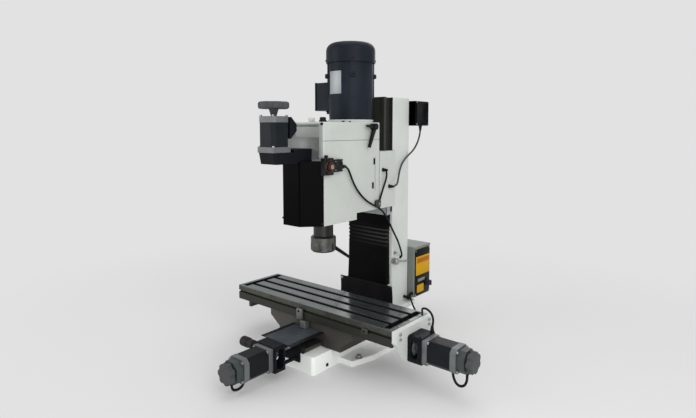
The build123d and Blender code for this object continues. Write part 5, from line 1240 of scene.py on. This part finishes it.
class MILL_OT_head_fittings(bpy.types.Operator):
    """Fit the panel, filler, gasket, side bolts, oil sight, cable clamp, switch and belt to the head"""

    bl_idname = "mill.head_fittings"
    bl_label = "Head fittings"

    def execute(self, context):
        self.fit_front()
        self.fit_top()
        self.fit_seam()
        self.fit_side()
        self.fit_switch()
        self.fit_belt()
        return {"FINISHED"}

    def fit_front(self):
        front = HEAD.front
        # The grey panel: a plate in part, and in part painted shade on the head's front face.
        panel = plate("front_panel", (-0.100, front - 0.0022, 0.799), (0.100, front, 0.935), "panel", "head")
        sink(panel, FRONT, 0.004, -0.0006)
        plate("panel_inlay", (-0.040, front - 0.0026, 0.884), (0.085, front - 0.0014, 0.924),
              "panel_light", "head", edge=0.0004)
        # A paler strip down the panel's right edge: a painted highlight.
        plate("panel_edge_highlight", (0.0845, front - 0.0030, 0.8005), (0.0995, front - 0.0012, 0.9335),
              "panel_edge_highlight", "head", edge=0.0008)
        put("panel_screws", pan_screw(0.0034, 0.002),
            spots(FRONT, (-0.092, 0.078), front - 0.0016, (0.812, 0.927)), "zinc", "head")
        cap = turned("corner_cap", [(0.0055, 0), (0.0055, 0.003), (0.0044, 0.006), (0.0022, 0.0072)], 20)
        put("panel_corner_cap", cap, spots(FRONT, 0.098, front, 0.9345), "black_plastic", "head")
        put("front_cover_screws", cap_screw(0.0042, 0.0035),
            spots(LEFT, HEAD.left, -0.250, 0.563) + spots(RIGHT, HEAD.right, -0.250, 0.563),
            "black_screw", "head")

    def fit_top(self):
        top = HEAD_COVER.top
        filler = turned("filler", [
            (0.0095, -0.0020), (0.0095, 0.0045), (0.0135, 0.0055), (0.0140, 0.0100), (0.0132, 0.0155),
            (0.0100, 0.0185), (0.0070, 0.0192), (0.0062, 0.0180)], 28)
        put("oil_filler", filler, spots(UP, -0.058, -0.134, top), "filler", "head")
        cap = turned("cap", [
            (0.0150, 0.0010), (0.0150, 0.0080), (0.0140, 0.0095), (0.0125, 0.0100), (0.0125, 0.0180),
            (0.0110, 0.0200), (0.0060, 0.0205)], 28)
        put("drawbar_cap", cap, spots(UP, 0, -0.130, top), "black_plastic", "spindle_turning")
        put("top_cover_screws", cap_screw(0.0045, 0.004),
            spots(UP, (-0.094, 0.094), (-0.226, -0.075, 0.098), top), "black_screw", "head")
        axis = Vector((0, SPINDLE_MOTOR.middle.y, 0))
        feet = around(axis, 0.1025, (top,), (22.5, 112.5, 202.5, 292.5))
        put("motor_foot_screws", cap_screw(0.0055, 0.006), [
            (foot, UP) for foot, out in feet if abs(foot.x) < 0.099 and foot.y < 0.104],
            "black_screw", "head")

    def fit_seam(self):
        """The gasket line between the head and its top cover."""
        proud, half = 0.0003, 0.0008
        seam = start_block(
            "head_gasket", (HEAD.left - proud, HEAD.front - proud, HEAD.top - half),
            (HEAD.right + proud, HEAD.back + proud, HEAD.top + half))
        choose(seam, "EDGE", lambda edge: abs(ends(seam, edge)[0].z - ends(seam, edge)[1].z) > half)
        bpy.ops.mesh.bevel(offset=0.008, segments=5, affect="EDGES")
        leave()
        cut_away(seam, lambda face: abs(face.normal.z) > 0.9)
        add_modifier(seam, "SOLIDIFY", thickness=0.002, offset=-1)
        fit(seam, "gasket", "head")

    def fit_side(self):
        side = HEAD.right
        pads = []
        for y, z in ((0.070, 0.781), (0.061, 0.681)):
            pad = start_block("pad", (side, y - 0.0055, z - 0.013), (side + 0.0018, y + 0.0055, z + 0.013))
            chamfer(pad, lambda point: point.x > side + 0.0014, 0.0008)
            pads.append(sink(pad, RIGHT, 0.0022, -0.0012))
        fit(join("side_bolt_pads", pads), "black_screw", "head")
        # A grey strip down the head's side: the painted shadow line of a groove.
        plate("groove_shade", (side, 0.0745, 0.660), (side + 0.0006, 0.0775, 0.800), "panel", "head", edge=0.0003)

        rim = turned("sight", [
            (0.0170, 0), (0.0170, 0.003), (0.0155, 0.0045), (0.0120, 0.0045), (0.0115, 0.0025)], 36)
        glass = turned("glass", [(0.0113, 0), (0.0113, 0.0028), (0.0090, 0.0034), (0.0040, 0.0037)], 28)
        sight = spots(LEFT, HEAD.left, -0.020, 0.660)
        put("oil_sight", rim, sight, "zinc", "head")
        put("oil_sight_glass", glass, sight, "amber", "head")

        plate("cable_clamp", (side, 0.070, 0.586), (side + 0.0145, 0.104, 0.618), "clamp", "head",
              edge=0.0068, segments=5)
        put("clamp_screw", cap_screw(0.0048, 0.003),
            spots(RIGHT, side + 0.0142, 0.087, 0.602), "zinc", "head")

    def fit_switch(self):
        box, button = Box("switch_box"), SWITCH_BUTTON.middle
        ring = turned("switch_surround", [
            (0.0235, 0), (0.0250, 0.0015), (0.0250, 0.0040), (0.0226, 0.0058), (0.0204, 0.0058),
            (0.0194, 0.0040), (0.0194, 0.0015)], 40)
        put("switch_surround", ring, spots(RIGHT, box.right, button.y, button.z), "amber", "head")
        knob = turned("switch_knob", [
            (0.0050, 0), (0.0050, 0.003), (0.0072, 0.004), (0.0075, 0.008), (0.0060, 0.0105),
            (0.0030, 0.0110)], 24)
        put("switch_knob", knob, spots(UP, box.middle.x, -0.238, box.top), "black_plastic", "head")
        (front, back), (foot, top), face = (-0.2025, -0.1575), (0.7580, 0.7970), box.right + 0.0018
        lid = plate("switch_lid", (box.right - 0.0008, front, foot), (face, back, top),
                    "black_plastic", "head", "switch_grey", 0.0008)
        sink(lid, RIGHT, 0.0030, -0.0006)
        put("switch_screws", pan_screw(0.0026, 0.0018),
            spots(RIGHT, face, inside(front, back, 0.0035), inside(foot, top, 0.0035)), "zinc", "head")

    def fit_belt(self):
        """The toothed belt from the quill motor's pulley to the quill screw's."""
        driver, driven = Z_MOTOR.middle.y, Box("z_ball_screw").middle.y
        centre, reach = (driver + driven) / 2, (driven - driver) / 2
        belt = start_round("z_belt", (0, centre, 0.7985), 0.0203, 0.0135, 48)
        cut_away(belt, lambda face: abs(face.normal.z) > 0.9)
        for end in (-1, 1):
            choose(belt, "VERT", lambda vertex: (vertex.co.y - centre) * end > 1e-4)
            bpy.ops.transform.translate(value=(0, reach * end, 0))
            leave()
        add_modifier(belt, "SOLIDIFY", thickness=0.0014, offset=1)
        fit(smooth(belt, 40), "sheath", "head")


class MILL_OT_motor_fittings(bpy.types.Operator):
    """Fit the blank nameplate, bosses, plugs and screws to the motors"""

    bl_idname = "mill.motor_fittings"
    bl_label = "Motor fittings"

    def execute(self, context):
        centre = Vector((0, SPINDLE_MOTOR.middle.y, 0))
        self.fit_spindle_motor(centre)
        self.fit_nameplate(centre)
        self.fit_bosses(centre)
        self.fit_terminal_box()
        self.fit_axis_motors(context.scene.mill_fittings.screw_radius)
        return {"FINISHED"}

    def fit_spindle_motor(self, centre):
        """The raised pad that the spindle motor stands on."""
        pad = turned("pad", [(0.0958, 0), (0.0958, 0.0102), (0.0945, 0.0115), (0.0915, 0.0115)], 96)
        put("motor_pad", pad, spots(UP, 0, centre.y, HEAD_COVER.top), "head", "head")

    def fit_nameplate(self, centre):
        """A blank plate bent round the motor, with a rivet at each corner."""
        foot, height, heading, half = 1.058, 0.092, -93.4, 19.5
        nameplate = start_round("blank_plate", centre + UP * foot, 0.0951, height, 180)

        def beside(face):
            turn = math.atan2(face.center.y - centre.y, face.center.x)
            return abs(face.normal.z) > 0.5 or abs(turn - math.radians(heading)) > math.radians(half)

        cut_away(nameplate, beside)
        add_modifier(nameplate, "SOLIDIFY", thickness=0.0014, offset=1)
        soften(nameplate, 0.0004)
        fit(nameplate, "nameplate", "head")
        corners = around(centre, 0.0964, inside(foot, foot + height, 0.005),
                         inside(heading - half, heading + half, 2.0))
        put("nameplate_rivets", pan_screw(0.0022, 0.0012), corners, "zinc", "head")

    def fit_bosses(self, centre):
        boss = turned("boss", [
            (0.0110, 0), (0.0105, 0.0045), (0.0090, 0.0085), (0.0085, 0.0115), (0.0058, 0.0115),
            (0.0052, 0.0050)], 24)
        corners = (45, 135, 225, 315)
        put("motor_bosses", boss, around(centre, 0.096, (1.134,), corners), "motor", "head")
        put("cowl_screws", cap_screw(0.0045, 0.003), around(centre, 0.1028, (1.198,), corners),
            "black_screw", "head")

    def fit_terminal_box(self):
        box, lip = Box("terminal_box"), 0.002
        lid = plate("terminal_lid", (box.left - 0.0035, box.front - lip, box.foot - lip),
                    (box.left + 0.0005, box.back + lip, box.top + lip), "motor", "head", edge=0.0018)
        sink(lid, LEFT, 0.010, 0.0012)
        put("terminal_screws", cap_screw(0.0038, 0.003),
            spots(LEFT, box.left - 0.0034, inside(box.front, box.back, 0.004),
                  inside(box.foot, box.top, 0.004)), "zinc", "head")
        plug = turned("terminal_plug", [
            (0.0125, 0), (0.0125, 0.006), (0.0115, 0.007), (0.0095, 0.0072), (0.0095, 0.014),
            (0.0070, 0.016)], 6)
        put("terminal_plug", plug, spots(DOWN, -0.125, box.middle.y, box.foot + 0.0005),
            "black_plastic", "head")

    def fit_axis_motors(self, radius):
        x, y, z = X_MOTOR, Y_MOTOR, Z_MOTOR
        screws = {"table": [], "frame": [], "head": []}
        for a, b in itertools.product((-1, 1), (-1, 1)):
            for depth, reach in ((FRONT_CASTING, 0.0362), (REAR_CASTING, 0.0325)):
                screws["table"].append(
                    ((x.left + depth, x.middle.y + a * reach, x.middle.z + b * reach), RIGHT))
                screws["frame"].append(((a * reach, y.back - depth, y.middle.z + b * reach), FRONT))
                screws["head"].append(((a * reach, z.middle.y + b * reach, z.foot + depth), UP))
        for body, places in screws.items():
            put(body + "_motor_screws", cap_screw(radius, 0.005), places, "zinc", body)

        back, foot, top, near = -0.313, 0.880, 0.959, 0.001
        plug = start_block("z_motor_plug", (-0.024, -0.3472, foot), (0.0405, back, top))
        chamfer(plug, lambda point: point.y > back - near and point.z > top - near, 0.026)
        chamfer(plug, lambda point: point.y > back - near and point.z < foot + near, 0.028)
        fit(soften(plug, 0.0025, 3), "plate", "head")


class MILL_OT_cabinet(bpy.types.Operator):
    """Fit the blank panels to the control box and the lid to the junction box"""

    bl_idname = "mill.cabinet"
    bl_label = "Control box"

    def execute(self, context):
        self.fit_control_box(Box("control_box"))
        self.fit_junction_box(Box("junction_box"))
        return {"FINISHED"}

    def fit_control_box(self, box):
        side = box.right
        (front, back), (foot, top) = (0.366, 0.496), (0.131, 0.352)
        plate("box_face", (side, front, foot), (side + 0.002, back, top), "cabinet_dark", "frame",
              edge=0.0008)
        panels = (
            ("box_panel_main", "yellow", (0.374, 0.228), (0.493, 0.317), 0.0032),
            ("box_panel_band", "orange", (0.382, 0.286), (0.487, 0.308), 0.0038),
            ("box_panel_low", "yellow", (0.385, 0.144), (0.442, 0.181), 0.0032),
            ("box_panel_strip", "cabinet", (0.392, 0.196), (0.452, 0.210), 0.0030),
        )
        for name, key, low, high, proud in panels:
            plate(name, (side + 0.0014, *low), (side + proud, *high), key, "frame", edge=0.0006)
        put("box_screws", pan_screw(0.0036, 0.0022),
            spots(RIGHT, side + 0.002, inside(front, back, 0.006), inside(foot, top, 0.006)), "zinc", "frame")
        plate("box_lid", (-0.122, 0.3615, 0.3565), (0.1235, 0.4995, 0.3665), "cabinet", "frame",
              edge=0.0025, segments=3)
        ring = turned("dial_ring", [(0.0185, 0), (0.0185, 0.0018), (0.0170, 0.0030), (0.0125, 0.0030)], 36)
        put("dial_ring", ring, spots(RIGHT, side + 0.0018, 0.468, 0.180), "black_plastic", "frame")
        # Dark strips for the vent slots: painted shade of the openings.
        vent_shades = []
        for row in range(6):
            z = 0.200 + row * 0.014
            vent_shade = start_block("vent_shade", (-0.070, box.back - 0.0010, z), (0.070, box.back, z + 0.005))
            vent_shades.append(soften(vent_shade, 0.0004))
        fit(join("box_vent_shades", vent_shades), "cabinet_dark", "frame")

    def fit_junction_box(self, box):
        front, back = inside(box.front, box.back, 0.003)
        foot, top = inside(box.foot, box.top, 0.004)
        lid = plate("junction_lid", (box.right, front, foot), (box.right + 0.0025, back, top),
                    "box_black", "frame")
        sink(lid, RIGHT, 0.006, -0.0008)
        put("junction_screws", pan_screw(0.0032, 0.0020),
            spots(RIGHT, box.right + 0.0024, inside(front, back, 0.003), inside(foot, top, 0.003)),
            "zinc", "frame")


class MILL_OT_frame_fittings(bpy.types.Operator):
    """Fit the bolts, the column's locks and cover, and the table's dog, catch, plugs and screws"""

    bl_idname = "mill.frame_fittings"
    bl_label = "Bolts and table fittings"

    def execute(self, context):
        self.fit_bolts()
        self.fit_column_locks()
        self.fit_column_cover(Box("junction_box").front)
        self.fit_table()
        self.fit_drive_screws()
        return {"FINISHED"}

    def fit_bolts(self):
        put("column_bolts", hex_bolt(0.0105, 0.009, 0.014),
            spots(UP, (-0.102, 0.102), (0.170, 0.357), 0.117), "zinc", "frame")
        holes = next(mount["dims"] for mount in frame["record"]["mounts"] if mount["name"] == "base_bolts")
        x, y = holes["spacing_x_mm"] / 2000, holes["spacing_y_mm"] / 2000
        put("floor_bolts", hex_bolt(0.011, 0.009, 0.015), spots(UP, (-x, x), (-y, y), 0.022), "zinc", "frame")
        plug = turned("drain", [(0.0065, 0), (0.0065, 0.002), (0.0052, 0.0035), (0.0030, 0.0038)], 20)
        put("drain_plug", plug, spots(RIGHT, 0.118, -0.240, 0.018), "black_screw", "frame")

    def fit_column_locks(self):
        """A lock with its lever, a stud above it and a grip at the column's foot."""
        side = COLUMN_SIDE
        hub = turned("hub", [
            (0.0150, 0), (0.0150, 0.004), (0.0110, 0.006), (0.0110, 0.012), (0.0145, 0.0135),
            (0.0145, 0.0225), (0.0120, 0.0250), (0.0050, 0.0258)], 28)
        hub.data.transform(stand((side, 0.243, 0.321), RIGHT))
        rod = turned("rod", [
            (0.0034, 0), (0.0034, 0.060), (0.0050, 0.063), (0.0058, 0.070), (0.0050, 0.076),
            (0.0026, 0.078)], 18)
        rod.data.transform(stand((side + 0.018, 0.244, 0.321), (0, 0.985, -0.16)))
        fit(join("column_lock", [hub, rod]), "zinc", "frame")
        stud = turned("stud", [
            (0.0085, 0), (0.0085, 0.003), (0.0048, 0.0035), (0.0048, 0.0120), (0.0036, 0.0130)], 6)
        put("column_stud", stud, spots(RIGHT, side, 0.250, 0.357), "zinc", "frame")
        grip = turned("grip", [
            (0.0070, 0), (0.0070, 0.006), (0.0045, 0.008), (0.0045, 0.014), (0.0090, 0.017), (0.0105, 0.026),
            (0.0080, 0.033), (0.0030, 0.035)], 24)
        put("foot_grip", grip, spots(RIGHT, side, 0.330, 0.135), "black_plastic", "frame")

    def fit_column_cover(self, rear):
        """The plate that closes the hollow back of the column."""
        cover = plate("column_cover", (-0.058, rear, 0.420), (0.058, rear + 0.0025, 0.900), "column", "frame")
        sink(cover, BACK, 0.005, -0.0006)
        put("column_cover_screws", pan_screw(0.0040, 0.0024),
            spots(BACK, (-0.050, 0.050), rear + 0.0024, (0.430, 0.660, 0.890)), "zinc", "frame")

    def fit_table(self):
        """Gib screws in the saddle's front, the table's dog and catch, and plugs in its slots."""
        put("gib_screws", cap_screw(0.0045, 0.004),
            spots(FRONT, (-0.19, -0.12, 0.07, 0.14, 0.20), Box("saddle_casting").front, 0.172),
            "black_screw", "saddle")
        front = TABLE.front
        plate("table_dog", (-0.041, front - 0.012, 0.164), (-0.013, front, 0.206), "stop", "table",
              edge=0.0025, segments=3)
        plate("table_catch", (0.287, front - 0.008, 0.187), (0.313, front, 0.206), "saddle", "table",
              edge=0.0025, segments=3)
        put("dog_screws", cap_screw(0.0042, 0.003),
            spots(FRONT, -0.027, front - 0.012, 0.197) + spots(FRONT, 0.300, front - 0.008, 0.197),
            "black_screw", "table")
        plugs = []
        half, wide, end = 0.0086, 0.0069, 0.40625
        for x, y in itertools.product((-end, end), TABLE_SLOTS):
            plug = start_block("plug", (x - half, y - wide, 0.212), (x + half, y + wide, TABLE.top - 0.0001))
            plugs.append(soften(plug, 0.0006))
        fit(join("slot_end_plugs", plugs), "table", "table")

    def fit_drive_screws(self):
        """The screws of the table's end plate, the table motor's housing and the front drive's bracket."""
        end = Box("table_end_plates")
        put("end_plate_screws", cap_screw(0.0055, 0.005),
            spots(RIGHT, end.right, inside(end.front, end.back, 0.020), (0.194, 0.212)), "zinc", "table")
        box = Box("x_drive_housing")
        along = inside(box.left, box.right, 0.012)
        put("housing_screws", cap_screw(0.0045, 0.004),
            spots(UP, along, box.front + 0.012, box.top)
            + spots(FRONT, along, box.front, inside(box.foot, box.top, 0.014)), "black_screw", "table")
        bracket = Box("y_drive_bracket")
        put("bracket_screws", cap_screw(0.0045, 0.004),
            spots(RIGHT, bracket.right, (bracket.front + 0.011, bracket.front + 0.040),
                  inside(bracket.foot, bracket.top, 0.012)), "black_screw", "frame")


class MILL_PT_panel(bpy.types.Panel):
    """Lists the steps that finish the machine"""

    bl_label = "Bench mill"
    bl_idname = "MILL_PT_panel"
    bl_space_type = "VIEW_3D"
    bl_region_type = "UI"
    bl_category = "Mill"

    def draw(self, context):
        for operator in OPERATORS:
            self.layout.operator(operator.bl_idname)


OPERATORS = (
    MILL_OT_stage,
    MILL_OT_cables,
    MILL_OT_castings,
    MILL_OT_drives,
    MILL_OT_bellows,
    MILL_OT_head_fittings,
    MILL_OT_motor_fittings,
    MILL_OT_cabinet,
    MILL_OT_frame_fittings,
)
CLASSES = (MillPaintSettings, MillStageSettings, MillFittingSettings, *OPERATORS, MILL_PT_panel)


def register():
    for item in CLASSES:
        bpy.utils.register_class(item)
    bpy.types.Scene.mill_paint = bpy.props.PointerProperty(type=MillPaintSettings)
    bpy.types.Scene.mill_stage = bpy.props.PointerProperty(type=MillStageSettings)
    bpy.types.Scene.mill_fittings = bpy.props.PointerProperty(type=MillFittingSettings)


def unregister():
    del bpy.types.Scene.mill_fittings
    del bpy.types.Scene.mill_stage
    del bpy.types.Scene.mill_paint
    for item in reversed(CLASSES):
        bpy.utils.unregister_class(item)


def main():
    register()
    for operator in OPERATORS:
        family, name = operator.bl_idname.split(".")
        getattr(getattr(bpy.ops, family), name)()
    bpy.context.view_layer.update()


if __name__ == "__main__":
    main()
